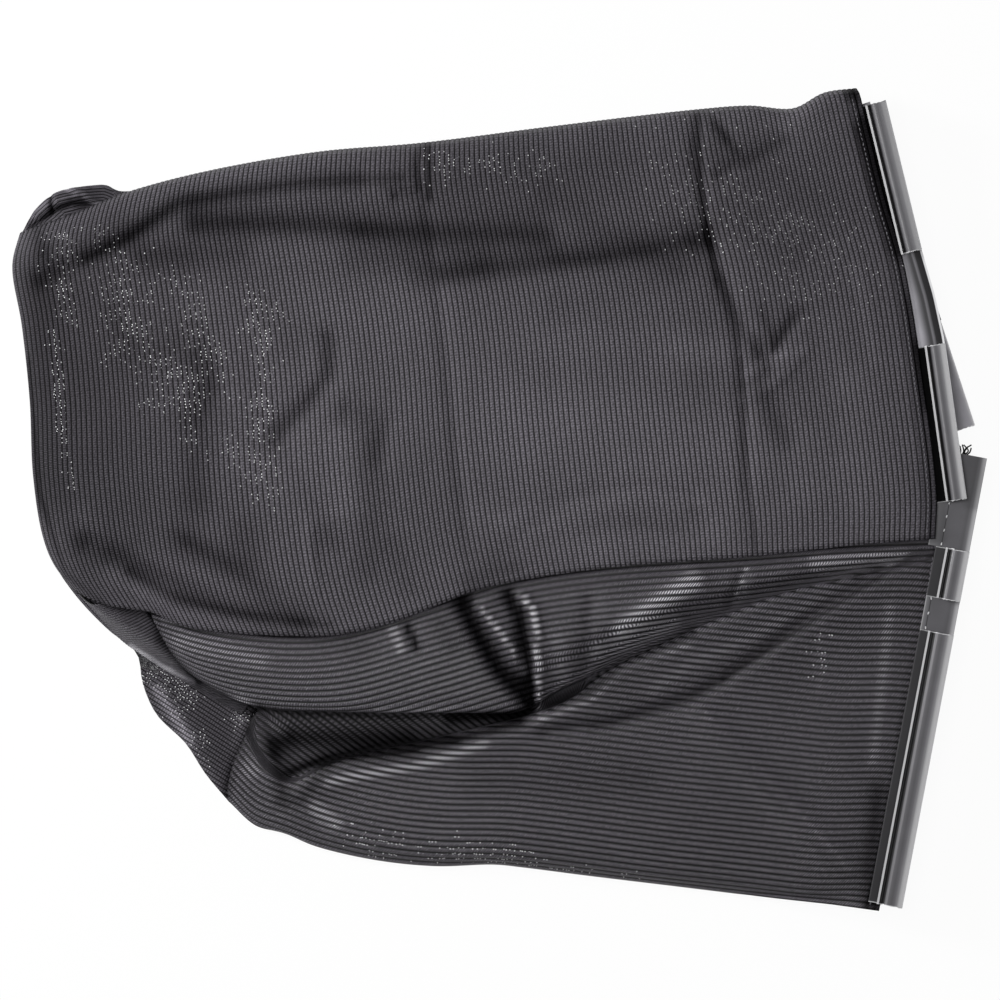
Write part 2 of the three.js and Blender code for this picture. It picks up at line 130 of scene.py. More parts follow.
def unit(vectors):
    return vectors / np.maximum(np.linalg.norm(vectors, axis=-1, keepdims=True), LEAST_LENGTH)


def run_lengths(points, axis=0):
    """The length covered so far along one axis of a row or grid of points."""
    steps = np.linalg.norm(np.diff(points, axis=axis), axis=-1)
    return np.insert(np.cumsum(steps, axis=axis), 0, 0, axis=axis)


def cloth_line(points, samples=24):
    """A centripetal Catmull-Rom line through points, as a dense row of points."""
    inner = np.asarray(points, float)
    padded = np.vstack([2 * inner[0] - inner[1], inner, 2 * inner[-1] - inner[-2]])
    rows = []
    for a, b, c, d in zip(padded, padded[1:], padded[2:], padded[3:]):
        before, here, after = (max(np.linalg.norm(q), LEAST_KNOT) ** 0.5
                               for q in (b - a, c - b, d - c))
        leave = ((b - a) / before - (c - a) / (before + here) + (c - b) / here) * here
        arrive = ((c - b) / here - (d - b) / (here + after) + (d - c) / after) * here
        t = np.linspace(0, 1, samples, endpoint=False)[:, None]
        square = -3 * b + 3 * c - 2 * leave - arrive
        cube = 2 * b - 2 * c + leave + arrive
        rows.append(b + leave * t + square * t ** 2 + cube * t ** 3)
    return np.vstack(rows + [inner[-1:]])


def along_line(line, fractions):
    """Points at even fractions of a line's length."""
    reach = run_lengths(line)
    steps = np.clip(fractions, 0, 1) * reach[-1]
    return np.stack([np.interp(steps, reach, line[:, axis]) for axis in range(line.shape[1])], -1)


def distance_to_line(x, y, points):
    """Distance in plan from every x, y to a line of straight stretches, or to one point."""
    if len(points) == 1:
        return np.hypot(x - points[0][0], y - points[0][1])
    nearest = np.full(np.shape(x), np.inf)
    for (ax, ay), (bx, by) in zip(points, points[1:]):
        size = (bx - ax) ** 2 + (by - ay) ** 2
        t = np.clip(((x - ax) * (bx - ax) + (y - ay) * (by - ay)) / size, 0, 1)
        nearest = np.minimum(nearest, np.hypot(x - ax - (bx - ax) * t, y - ay - (by - ay) * t))
    return nearest


# %% Outlines seen from above
FRONT_TOP = [(-312, 173), (-298, 178), (-271, 188), (-245, 199), (-198, 212), (-120, 226),
             (-51, 232), (36, 243), (131, 254), (163, 256), (192, 254), (212, 264), (233, 267)]
FRONT_LEFT = [(-279, -58), (-291, -42), (-298, -24), (-304, 15), (-306, 64), (-311, 113),
              (-317, 152), (-312, 173)]
FRONT_BOTTOM = [(-279, -58), (-266, -65), (-252, -70), (-226, -74), (-205, -83), (-177, -87),
                (-144, -89), (-110, -89), (-77, -83), (-44, -71), (-19, -61), (10, -54),
                (70, -45), (159, -38), (235, -30), (283, -26)]
FRONT_MOUTH_EDGE = [(283, -26), (284, -1), (282, 25), (275, 77), (268, 124), (261, 159),
                    (250, 197), (242, 230), (233, 267)]
REAR_TOP = [(-315, 168), (-304, 187), (-290, 199), (-276, 203), (-258, 205), (-247, 201),
            (-198, 210), (-120, 223), (-51, 229), (36, 240), (131, 251), (163, 253),
            (192, 251), (212, 260), (231, 264)]
REAR_UPPER_LEFT = [(-305, 40), (-311, 113), (-316, 152), (-315, 168)]
REAR_SEAM = [(-305, 40), (-200, 38), (-97, 38), (1, 36), (131, 38), (291, 44)]
REAR_UPPER_MOUTH = [(291, 44), (261, 156), (231, 264)]
REAR_LOWER_LEFT = [(-177, -198), (-192, -180), (-205, -160), (-224, -141), (-233, -121),
                   (-237, -101), (-256, -85), (-276, -64), (-291, -42), (-298, -24),
                   (-303, 0), (-305, 40)]
REAR_BOTTOM = [(-177, -198), (-159, -214), (-139, -219), (-120, -227), (-81, -236),
               (-42, -240), (-3, -239), (56, -246), (114, -253), (173, -260), (212, -263),
               (239, -267)]
REAR_LOWER_MOUTH = [(239, -267), (259, -157), (277, -40), (291, 44)]

# %% [markdown]
# The bottom panel is folded back on itself, so a plan outline isn't enough for it. It is drawn
# through lines that run along the panel, from its seam round the folds to the outer edge, and
# each point of a line is x, y and the height that the cloth stands there.

# %% Lines round the folds
PLEAT_LINES = [
    [(-224, -66, 15), (-170, -78, 18), (-110, -80, 19), (-44, -62, 20), (10, -46, 20),
     (70, -37, 20), (159, -31, 20), (235, -26, 20), (290, -24, BOTTOM_MOUTH)],
    [(-226, -75, 17), (-177, -89, 20), (-110, -91, 22), (-44, -73, 22.5), (10, -56, 22.5),
     (70, -47, 22.5), (159, -40, 22), (235, -32, 21), (290, -29, BOTTOM_MOUTH)],
    [(-220, -88, 19), (-194, -102, 22), (-155, -110, 24), (-110, -113, 25.5), (-64, -108, 26.5),
     (-32, -98, 26), (40, -92, 25), (79, -76, 25), (131, -61, 24.5), (196, -46, 24),
     (241, -38, 22), (289.5, -31, BOTTOM_MOUTH)],
    [(-205, -110, 16), (-180, -126, 18), (-155, -135, 20), (-118, -137, 21.5), (-77, -138, 22),
     (-27, -138, 22), (14, -137, 20), (33, -124, 17), (53, -113, 17), (79, -95, 17),
     (118, -78, 17), (159, -65, 18), (196, -54, 19), (241, -42, 20), (289, -33.5, BOTTOM_MOUTH)],
    [(-180, -126, 12), (-152, -132, 13), (-118, -132, 13), (-77, -132, 13.5), (-27, -132, 13),
     (14, -133, 12), (40, -124, 12), (66, -113, 12), (92, -100, 12.5), (131, -82, 13.5),
     (170, -69, 16), (206, -58, 18.5), (241, -45, 19.7), (288.8, -35, BOTTOM_MOUTH)],
    [(-157, -135, 9), (-146, -150, 9), (-129, -160, 9), (-103, -158, 9), (-64, -149, 9),
     (-27, -145, 9), (14, -139, 9.5), (43, -126, 11), (69, -113, 11.5), (95, -100, 12),
     (133, -84, 13.3), (171, -70, 16), (206, -59, 18.5), (242, -47, 19.7),
     (288.6, -36.5, BOTTOM_MOUTH)],
    [(-162, -145, 9), (-149, -167, 9), (-135, -181, 7), (-110, -171, 7), (-64, -162, 7),
     (-45, -158, 7), (-1, -147, 8), (23, -141, 9), (47, -132, 10), (72, -116, 10.5),
     (101, -101, 11), (131, -87, 12.5), (165, -73, 15.5), (203, -60, 18.5), (242, -49, 19.7),
     (288.4, -38, BOTTOM_MOUTH)],
    [(-166, -156, 9.5), (-154, -178, 10), (-136, -186, 12), (-110, -174, 16), (-90, -168, 17.5),
     (-64, -162, 18.5), (-20, -152, 19.5), (23, -141, 20.5), (47, -131, 21), (70, -114, 22),
     (100, -99, 22.5), (129, -85, 23), (159, -72, 23.5), (196, -59, 23.5), (242, -51, 21),
     (288.2, -39.5, BOTTOM_MOUTH)],
    [(-174, -175, 8), (-154, -196, 9), (-129, -200, 12), (-90, -189, 15), (-45, -180, 17),
     (23, -167, 18), (70, -154, 18.5), (131, -131, 19), (196, -108, 19), (248, -98, 19.5),
     (279, -95, BOTTOM_MOUTH)],
    [(-177, -189, 6), (-157, -208, 7), (-123, -219, 8), (-81, -227, 10), (-22, -230, 12),
     (36, -233, 13), (98, -240, 13.5), (163, -246, 14.5), (212, -251, 17),
     (253, -240, BOTTOM_MOUTH)],
    [(-177, -197, 3), (-159, -213, 3), (-139, -219, 3), (-120, -227, 3), (-81, -236, 3),
     (-42, -240, 3), (-3, -239, 3), (17, -241, 3), (56, -246, 3), (114, -253, 3),
     (173, -260, 5), (212, -264, 9), (247, -268, BOTTOM_MOUTH)],
]
END_LINES = [
    [(-275, -62, 2), (-259, -80, 2), (-246, -93, 2), (-235, -101, 2), (-220, -111, 2),
     (-207, -119, 3), (-187, -131, 4), (-168, -141, 4.5)],
    [(-264, -69, 13), (-246, -80, 15.5), (-233, -89, 15), (-217, -101, 13.5), (-201, -113, 11),
     (-182, -124, 8.5), (-163, -134, 6.5)],
    [(-252, -66, 14.5), (-234, -70, 13.5), (-225, -81, 13), (-216, -93, 12), (-202, -104, 10.5),
     (-180, -117, 8.5), (-158, -127, 7.5)],
]
print("bottom panel:", len(PLEAT_LINES), "lines; end panel:", len(END_LINES), "lines")

# %% [markdown]
# ## Folds
#
# An empty bag is never flat. Its cloth carries creases from packing, and soft hollows where
# nothing holds it up. Each fold here is a short line on the cloth with a half width and a depth:
# a valley when the depth is above zero, a ridge when it is below. Added up, they bend the fine
# grid, so every crease is a real shape that catches the light from any side. The tables of painted
# shading further down, painted shade and painted highlights along the folds, and the tables of
# pin-holes are lines of the same kind, with a strength in place of the depth.

# %% Folds of the front panel
FRONT_FOLDS = [
    ([(-296, 141), (-240, 169), (-208, 189), (-171, 199), (-125, 206), (-90, 208)], 7, 3.2),
    ([(-194, 191), (-138, 182), (-83, 180), (-36, 183), (27, 178)], 11, 2.6),
    ([(-45, 144), (1, 152), (38, 157), (70, 162), (112, 169), (138, 171)], 10, 2.8),
    ([(-49, 232), (-52, 215), (-49, 197), (-66, 197)], 4, 3.0),
    ([(-47, 192), (-41, 148), (-34, 92), (-27, 27), (-20, -29), (-17, -59)], 5, 1.2),
    ([(128, 247), (129, 217), (135, 185), (144, 148), (156, 106), (159, 64), (163, -33)], 4.5, 2.2),
    ([(135, 252), (150, 235)], 4, 2.6), ([(143, 210), (182, 234)], 4, 2.4), ([(200, 238)], 16, -3.5),
    ([(146, 141), (163, 106), (176, 89), (192, 119)], 5, 2.8),
    ([(163, 82), (177, 87), (188, 95)], 3.5, -1.6), ([(160, 65), (179, 75), (200, 97)], 3.5, -1.6),
    ([(179, 58), (189, 38)], 8, 2.2), ([(-110, 103), (-106, 83), (-120, 64), (-140, 45)], 7, 2.4),
    ([(-97, 55), (-73, 48), (-77, 25)], 7, 2.0), ([(-122, 24)], 20, -2.2), ([(-106, -29)], 12, 1.8),
    ([(-123, -20), (-120, -59)], 4, -1.2),
    ([(-266, -30), (-237, -46), (-203, -63), (-153, -80), (-125, -87)], 8, 4.0),
    ([(-4, -44), (20, -17), (47, -2), (94, 6), (126, 0), (133, -20)], 6, 1.8), ([(66, -20)], 22, -2.2),
    ([(38, 78), (94, 78), (154, 65)], 14, 1.4), ([(-203, 101), (-185, 73)], 10, 1.6),
    ([(-306, 90), (-301, 35), (-298, 2), (-281, -49), (-255, -70)], 2.2, 4.0),
]

# %% Folds of the bottom panel
BOTTOM_FOLDS = [
    ([(20, -131), (1, -110), (-12, -87), (-24, -67)], 5, 5.0),
    ([(18, -115), (9, -98), (1, -87), (-11, -72)], 2.6, -2.6),
    ([(21, -135), (18, -102), (14, -77), (6, -64)], 4, 4.2),
    ([(26, -137), (25, -105), (23, -74), (15, -63)], 2.4, -2.4),
    ([(56, -118), (58, -92), (60, -66)], 5, 1.4), ([(84, -85), (105, -66), (126, -52)], 9, -2.2),
    ([(159, -48), (155, -59), (150, -72)], 3, 2.2), ([(-56, -84), (-54, -98)], 2.5, 2.0),
    ([(248, -47), (200, -78), (171, -100), (146, -117), (126, -129), (75, -146), (30, -152)], 4.5, 2.4),
    ([(131, -140), (176, -189), (225, -240)], 8, -1.4),
    ([(-129, -189), (-122, -204), (-113, -219)], 4, -2.0), ([(-138, -150), (-136, -176)], 5, 2.2),
]


def patches(x, y, marks):
    """Soft marks added up at every x, y. Each is a line, a half width and a strength."""
    total = np.zeros(np.shape(x))
    for points, half_width, strength in marks:
        total += strength * np.exp(-(distance_to_line(x, y, points) / half_width) ** 2)
    return total


print("folds:", len(FRONT_FOLDS), "front,", len(BOTTOM_FOLDS), "bottom")

# %% [markdown]
# ## Cloth panels
#
# A knitted mesh has ribs, and on this bag they are wide enough to see from across a room. Bump
# alone would leave the outline smooth, so the grid itself follows the ribs: on the front panel
# each rib has three columns of points, one in the valley and two on the crest. The rib number and
# the distance along the rib go into a UV map, so the material can follow the knit wherever the
# cloth goes.

# %% Grids
COARSE_STEP = 0.36
COARSE_FADE = 0.14


def plan_grid(edges, across_steps, up_steps):
    """Plan of a four-sided cloth between its edges: bottom, top, left and right."""
    bottom, top, left, right = (cloth_line(edge) for edge in edges)
    u, v = np.meshgrid(across_steps, up_steps)
    low, high = (along_line(edge, across_steps)[None] for edge in (bottom, top))
    first, last = (along_line(edge, up_steps)[:, None] for edge in (left, right))
    u, v = u[..., None], v[..., None]
    corners = ((1 - u) * (1 - v) * bottom[0] + u * (1 - v) * bottom[-1]
               + (1 - u) * v * top[0] + u * v * top[-1])
    plan = (1 - v) * low + v * high + (1 - u) * first + u * last - corners
    return u[..., 0], v[..., 0], plan[..., 0], plan[..., 1]


def rear_height(x, y):
    """The lower layer lies on the floor and rises onto the strips at the mouth."""
    upper = distance_to_line(x, y, REAR_UPPER_MOUTH)
    lower = distance_to_line(x, y, REAR_LOWER_MOUTH)
    distance = np.where(y > REAR_SEAM[-1][1], upper, lower)
    lift = smooth((REAR_RISE - np.maximum(distance - MOUTH_FLAT, 0)) / REAR_RISE)
    return MESH_THICKNESS / 2 + (REAR_MOUTH - MESH_THICKNESS / 2) * lift


def surface_normals(points):
    return unit(np.cross(np.gradient(points, axis=1), np.gradient(points, axis=0)))


def add_ribs(points, ribs, height):
    """Lifts the crests of the ribs off the cloth, but not where the grid is too coarse for them."""
    step_along = np.abs(np.gradient(ribs, axis=1))
    step_across = np.abs(np.gradient(ribs, axis=0))
    room = 1 - smooth((np.maximum(step_along, step_across) - COARSE_STEP) / COARSE_FADE)
    crest = 0.5 - 0.5 * np.cos(2 * np.pi * ribs)
    return points + surface_normals(points) * (height * room * (crest - 0.5))[..., None]


def roll(distance, width):
    """A quarter round that climbs from a rim to full height."""
    t = 1 - np.clip(distance / width, 0, 1)
    return np.sqrt(1 - t * t)


# %% Closed cloth meshes
# Painted shade: fold valleys are painted darker and fold ridges lighter; painted shading has a least value
FOLD_PAINTED_SHADE = 0.05
LEAST_PAINTED_SHADING = 0.1
HEM_WIDTH = 9
HEM_FADE = 5
HEM_SHADE = 0.42
GROOVE_SHADE = 0.4
GROOVE_WIDTH = 0.9
GROOVE_PLACES = (3.2, 8.6)


def in_frame(points):
    """Points of the drawing in millimetres, as points of the frame in metres."""
    return ((points + shift) * MM).tolist()


def linked(name, data):
    """An object for a mesh, a lamp or the camera, linked to the scene."""
    made = bpy.data.objects.new(name, data)
    bpy.context.scene.collection.objects.link(made)
    return made


def paint(mesh, label, values):
    """Stores one number for each point of a mesh."""
    layer = mesh.attributes.new(label, "FLOAT", "POINT")
    layer.data.foreach_set("value", values.astype(np.float32))


def cloth_object(name, points, ribs, run, painted_shading, holes):
    """A closed sheet of even thickness about a grid of points, in metres, with its UV map."""
    rows, columns = ribs.shape
    half = surface_normals(points) * MESH_THICKNESS / 2
    layers = np.concatenate([(points + half).reshape(-1, 3), (points - half).reshape(-1, 3)])
    index = np.arange(rows * columns).reshape(rows, columns)
    a, b, c, d = index[:-1, :-1], index[:-1, 1:], index[1:, 1:], index[1:, :-1]
    under = rows * columns
    faces = [np.stack([a, b, c, d], -1), np.stack([a, d, c, b], -1) + under]
    faces = [quads.reshape(-1, 4) for quads in faces]
    rim = np.r_[index[0, :-1], index[:-1, -1], index[-1, :0:-1], index[:0:-1, 0]]
    after = np.roll(rim, -1)
    faces.append(np.stack([after, rim, rim + under, after + under], -1))
    faces = np.concatenate(faces)
    mesh = bpy.data.meshes.new(name)
    mesh.from_pydata(in_frame(layers), [], faces.tolist())
    mesh.polygons.foreach_set("use_smooth", [True] * len(mesh.polygons))
    knit = np.stack([ribs.reshape(-1), run.reshape(-1)], -1)[faces.reshape(-1) % under]
    mesh.uv_layers.new(name="knit").data.foreach_set("uv", knit.reshape(-1))
    paint(mesh, "painted_shading", np.tile(painted_shading.reshape(-1), 2))
    paint(mesh, "holes", np.tile(holes.reshape(-1), 2))
    mesh.update()
    print(name, rows, "x", columns, "points,", 2 * len(faces), "triangles")
    return linked(name, mesh)


def flat_size(points):
    """Area of a grid of points, its greatest width and its greatest length, in metres."""
    along, up = np.diff(points, axis=1), np.diff(points, axis=0)
    area = np.linalg.norm(np.cross(along[:-1], up[:, :-1]), axis=2).sum() * MM ** 2
    width, length = (run_lengths(points, axis).max() * MM for axis in (0, 1))
    return area, width, length


def hem_shade(x, y, mouth):
    """Painted shade at the mouth: a darker band over the turned-under hem, and two dark stitched grooves.
    """
    distance = distance_to_line(x, y, mouth)
    band = HEM_SHADE * ramp(distance, HEM_WIDTH, -HEM_FADE)
    return band + sum(GROOVE_SHADE * np.exp(-((distance - place) / GROOVE_WIDTH) ** 2)
                      for place in GROOVE_PLACES)


panels = {}


def dressed_cloth(name, points, ribs, run, shading_marks, holes=(), folds=(), mouth=None,
                  base_tone=1, rib_share=1):
    """Makes a panel with its ribs, painted shading and pin-holes, and keeps it with its flat size."""
    x, y = points[..., 0], points[..., 1]
    # Painted shading: the given marks of painted shade and light, fold valleys darker, ridges lighter
    painted_shading = base_tone + patches(x, y, shading_marks) - FOLD_PAINTED_SHADE * patches(x, y, folds)
    if mouth is not None:
        painted_shading -= hem_shade(x, y, mouth)
    lifted = add_ribs(points, ribs, RIB_HEIGHT * rib_share)
    lifted[..., 2] = np.maximum(lifted[..., 2], MESH_THICKNESS / 2)
    piece = cloth_object(name, lifted, ribs, run, np.maximum(painted_shading, LEAST_PAINTED_SHADING), patches(x, y, holes))
    panels[name] = (piece, flat_size(points))
    print(name, "flat area, width, length in metres:", np.round(panels[name][1], 3))


# %% [markdown]
# ### Front side panel
#
# This is the large panel that shows. Its ribs run from the folded lower edge to the upper edge
# and fan out with the panel. The cloth stands about 25 mm off the floor on the slack of the bag
# and rolls down to the lower layer at its edges.

# %% Front side panel
FRONT_LENGTH = 590
FRONT_WIDTH = 290
FRONT_ROWS = 79
LEFT_CORNER_X = -285
LEFT_CORNER_FADE = 60
SEAM_CLIMB = 70
MOUTH_CLIMB = 90
LOW_CORNER_HEIGHT = 40
LOW_CORNER_WIDTH = 30
TOP_ROLL_START = 20
TOP_ROLL_FADE = 100
# Painted shade and painted light: dark bands along creases and hollows, lighter ridges, darker mouth
FRONT_PAINTED_SHADING = [
    ([(-275, 130), (-265, -20)], 75, -0.42), ([(-240, 175), (-150, 195), (20, 222)], 24, -0.20),
    ([(190, 0)], 70, 0.16), ([(60, 60)], 60, 0.12), ([(20, 40), (130, 40)], 45, 0.20),
    ([(228, 70), (236, 0)], 20, 0.22), ([(118, 98), (146, 94)], 10, 0.22),
    ([(-20, 205), (60, 205)], 34, -0.16), ([(70, 225), (190, 225)], 26, -0.10),
    ([(-269, 156), (-243, 169), (-207, 194), (-168, 200), (-110, 206), (-64, 208)], 5, -0.34),
    ([(-197, 178), (-130, 177), (-50, 173), (30, 170)], 9, -0.48),
    ([(-35, 145), (27, 152), (79, 158), (131, 168)], 8, -0.42),
    ([(-207, 149), (-110, 149), (-51, 151)], 12, -0.10), ([(-46, 230), (-45, 194)], 2.5, -0.5),
    ([(-300, 140), (-300, 0)], 18, -0.28), ([(129, 249), (131, 200), (135, 171), (141, 140)], 2.4, -0.5),
    ([(157, 90), (159, 64), (161, 18), (166, -33)], 1.6, -0.4),
    ([(170, 122), (179, 100), (196, 122)], 4, -0.36), ([(173, 64), (189, 38)], 8, -0.16),
    ([(160, 80), (173, 90), (196, 96)], 3, 0.24), ([(-194, 110), (-185, 77), (-201, 51)], 8, -0.20),
    ([(-165, 135), (-135, 100)], 14, -0.14), ([(-110, 103), (-113, 77), (-129, 57), (-146, 38)], 6, -0.30),
    ([(-103, 38), (-100, -5)], 12, 0.24), ([(-66, 120), (-62, 60)], 22, 0.06),
    ([(-82, 44), (-86, -45)], 12, -0.24), ([(-168, 10), (-164, -40)], 12, -0.26),
    ([(1, -14), (40, -4), (92, 5), (130, -1)], 5, 0.20), ([(140, -22)], 10, 0.22),
    ([(26, -27), (78, -14), (118, -20)], 5, -0.14), ([(-20, -55), (10, -45)], 6, -0.25),
    ([(-266, -27), (-214, -53), (-155, -79)], 8, -0.14), ([(-250, -50), (-218, -60)], 8, 0.26),
    ([(-203, -28), (-168, -50), (-129, -79)], 9, -0.32), ([(-272, -10), (-262, -30)], 8, 0.14),
    ([(140, 243), (153, 226)], 4, -0.35), ([(160, 217), (186, 233)], 4, -0.30), ([(189, 246)], 9, 0.16),
    ([(229, 263)], 6, -0.6), ([(231, 150), (243, 90)], 4, 0.20),
    ([(238, 240), (250, 200), (260, 165)], 9, -0.75), ([(272, 100), (280, 60)], 4, -0.30),
    ([(-90, 170), (-12, 156)], 12, -0.22), ([(120, 150), (150, 182), (192, 160)], 13, -0.18),
    ([(168, 100), (168, 72)], 7, -0.32), ([(216, 110), (224, 74)], 14, 0.12),
    ([(-10, -14), (60, -30), (120, -24)], 12, 0.16), ([(196, 40), (196, 4)], 12, 0.14),
    ([(0, 112), (70, 98), (110, 96)], 16, 0.10), ([(-118, 96), (-116, 76)], 9, 0.16),
    ([(-168, 16), (-168, -2)], 12, 0.16), ([(120, 180), (140, 130)], 5, -0.10),
    ([(-240, -48), (-209, -65), (-176, -73), (-150, -77), (-110, -82)], 4, -0.36),
    ([(-236, -60), (-208, -74), (-172, -82), (-120, -87)], 3, 0.16),
    ([(-232, -36), (-190, -50), (-140, -66)], 5, 0.10), ([(-212, -22), (-176, -40)], 5, -0.14),
    ([(-194, 90), (-196, 0)], 12, -0.26), ([(-230, 157), (-168, 160)], 10, -0.28),
    ([(-222, 92)], 12, -0.14), ([(-250, 120), (-240, 96)], 8, -0.14), ([(40, 120), (100, 150)], 16, -0.10),
    ([(30, 196), (110, 150)], 12, -0.16), ([(-170, 100), (-150, 40)], 10, -0.10),
    ([(-140, 30), (-106, -30)], 6, -0.10), ([(-70, -30), (-60, -56)], 8, -0.16),
    ([(150, 215), (215, 190)], 22, -0.14), ([(-95, 155), (-60, 155)], 10, -0.16),
    ([(38, 155), (68, 155)], 8, -0.14), ([(268, 130), (278, 60)], 5, -0.25),
    ([(-296, 160), (-300, 176)], 6, -0.3),
]
FRONT_HOLES = [
    ([(-293, 168), (-278, 176)], 4, 0.5), ([(-279, 160)], 7, 0.95), ([(-294, 152)], 5, 0.6),
    ([(-257, 170), (-250, 156)], 5, 0.55), ([(-245, 158), (-228, 153)], 5, 0.4),
    ([(-286, 142), (-280, 118)], 6, 0.7), ([(-288, 108), (-286, 80), (-284, 45)], 3.6, 0.8),
    ([(-284, 45), (-276, 6)], 3.4, 0.5), ([(-246, 138), (-238, 112)], 14, 0.62),
    ([(-218, 146), (-204, 141)], 5, 0.5), ([(-240, 100), (-205, 78)], 12, 0.5),
    ([(-203, 130), (-196, 98)], 12, 0.45), ([(-190, 105), (-178, 78)], 8, 0.45),
    ([(-220, 87), (-190, 66)], 6, 0.4), ([(-231, 62), (-192, 62)], 4.5, 0.65),
    ([(-203, 57), (-200, 41)], 6, 0.5), ([(-200, 35), (-191, 26)], 4, 0.4),
    ([(-158, 129), (-154, 103)], 8, 0.7), ([(-148, 128), (-140, 116)], 5, 0.6),
    ([(-154, 103), (-152, 57)], 5.5, 0.85), ([(-155, 57), (-156, 30), (-150, 2)], 8, 0.7),
    ([(-176, 38), (-165, 12)], 4, 0.5), ([(-45, 217), (27, 214)], 9, 0.5),
    ([(130, 200), (205, 150)], 30, 0.26),
]


def front_surface():
    ribs_wide = int(FRONT_LENGTH / FRONT_RIB_PITCH)
    u, v, x, y = plan_grid([FRONT_BOTTOM, FRONT_TOP, FRONT_LEFT, FRONT_MOUTH_EDGE],
                           np.linspace(0, 1, ribs_wide * 3 + 1), np.linspace(0, 1, FRONT_ROWS))
    from_mouth = (1 - u) * FRONT_LENGTH - MOUTH_FLAT
    from_left, from_top, from_bottom = u * FRONT_LENGTH, (1 - v) * FRONT_WIDTH, v * FRONT_WIDTH
    left_lift = LEFT_CORNER_LIFT * (1 - smooth((x - LEFT_CORNER_X) / LEFT_CORNER_FADE)) * v
    rim = rear_height(x, y) + RIM_LIFT + left_lift
    seam = along_line(cloth_line(PLEAT_LINES[1][:-1]), u[0])[None, :, 2] + RIM_LIFT + MESH_THICKNESS
    crown = CROWN_HEIGHT * np.sin(np.pi * v) * np.sin(np.pi * u)
    height = INTERIOR_HEIGHT + crown - patches(x, y, FRONT_FOLDS)
    height = seam + (height - seam) * smooth(from_bottom / SEAM_CLIMB)
    height = FRONT_MOUTH + (height - FRONT_MOUTH) * smooth(from_mouth / MOUTH_CLIMB)
    low_corner = (1 - smooth(from_bottom / LOW_CORNER_HEIGHT)) * smooth(from_left / LOW_CORNER_WIDTH)
    left_rim = rim + LOW_CORNER_LIFT * low_corner
    height = left_rim + (height - left_rim) * roll(from_left, EDGE_ROLL)
    widen = smooth((from_mouth - TOP_ROLL_START) / TOP_ROLL_FADE)
    top_roll = MOUTH_EDGE_ROLL + (EDGE_ROLL - MOUTH_EDGE_ROLL) * widen
    height = rim + (height - rim) * roll(from_top, top_roll)
    return np.stack([x, y, height], -1), u * ribs_wide, v * FRONT_WIDTH


front_points, front_ribs, front_run = front_surface()
dressed_cloth("front_side_cloth", front_points, front_ribs, front_run, FRONT_PAINTED_SHADING, FRONT_HOLES,
              FRONT_FOLDS, FRONT_MOUTH_EDGE)

# %% [markdown]
# ### Bottom panel
#
# The bottom panel is the one with folds: it passes under the front panel's edge, bulges, turns
# back into a deep recess and comes out again as a wide lower stretch. Its ribs run along it. In
# the lower stretch they keep an even distance from the outer edge, near the seam they keep an
# even distance from the seam, and the recess takes up the difference, which is why the ribs
# there lie aslant. A pair of numbers below says where a change starts and how wide it is.

# %% Bottom panel
BOTTOM_TURN = 247
TURN = (3, 4)
RECESS_TOP = (3.3, 0.5)
RECESS_FOOT = (6.9, -0.6)
RECESS_RIGHT = (60, -40)
RECESS_LEFT = (-170, 12)
ACROSS_RECESS = (0.6, 0.8)
MEETING_X = -164
MEETING_REACH = 6
MEETING_LINE = 5
MEETING_LINES = 1.5
FOLDED_LEVEL = (14, 4)
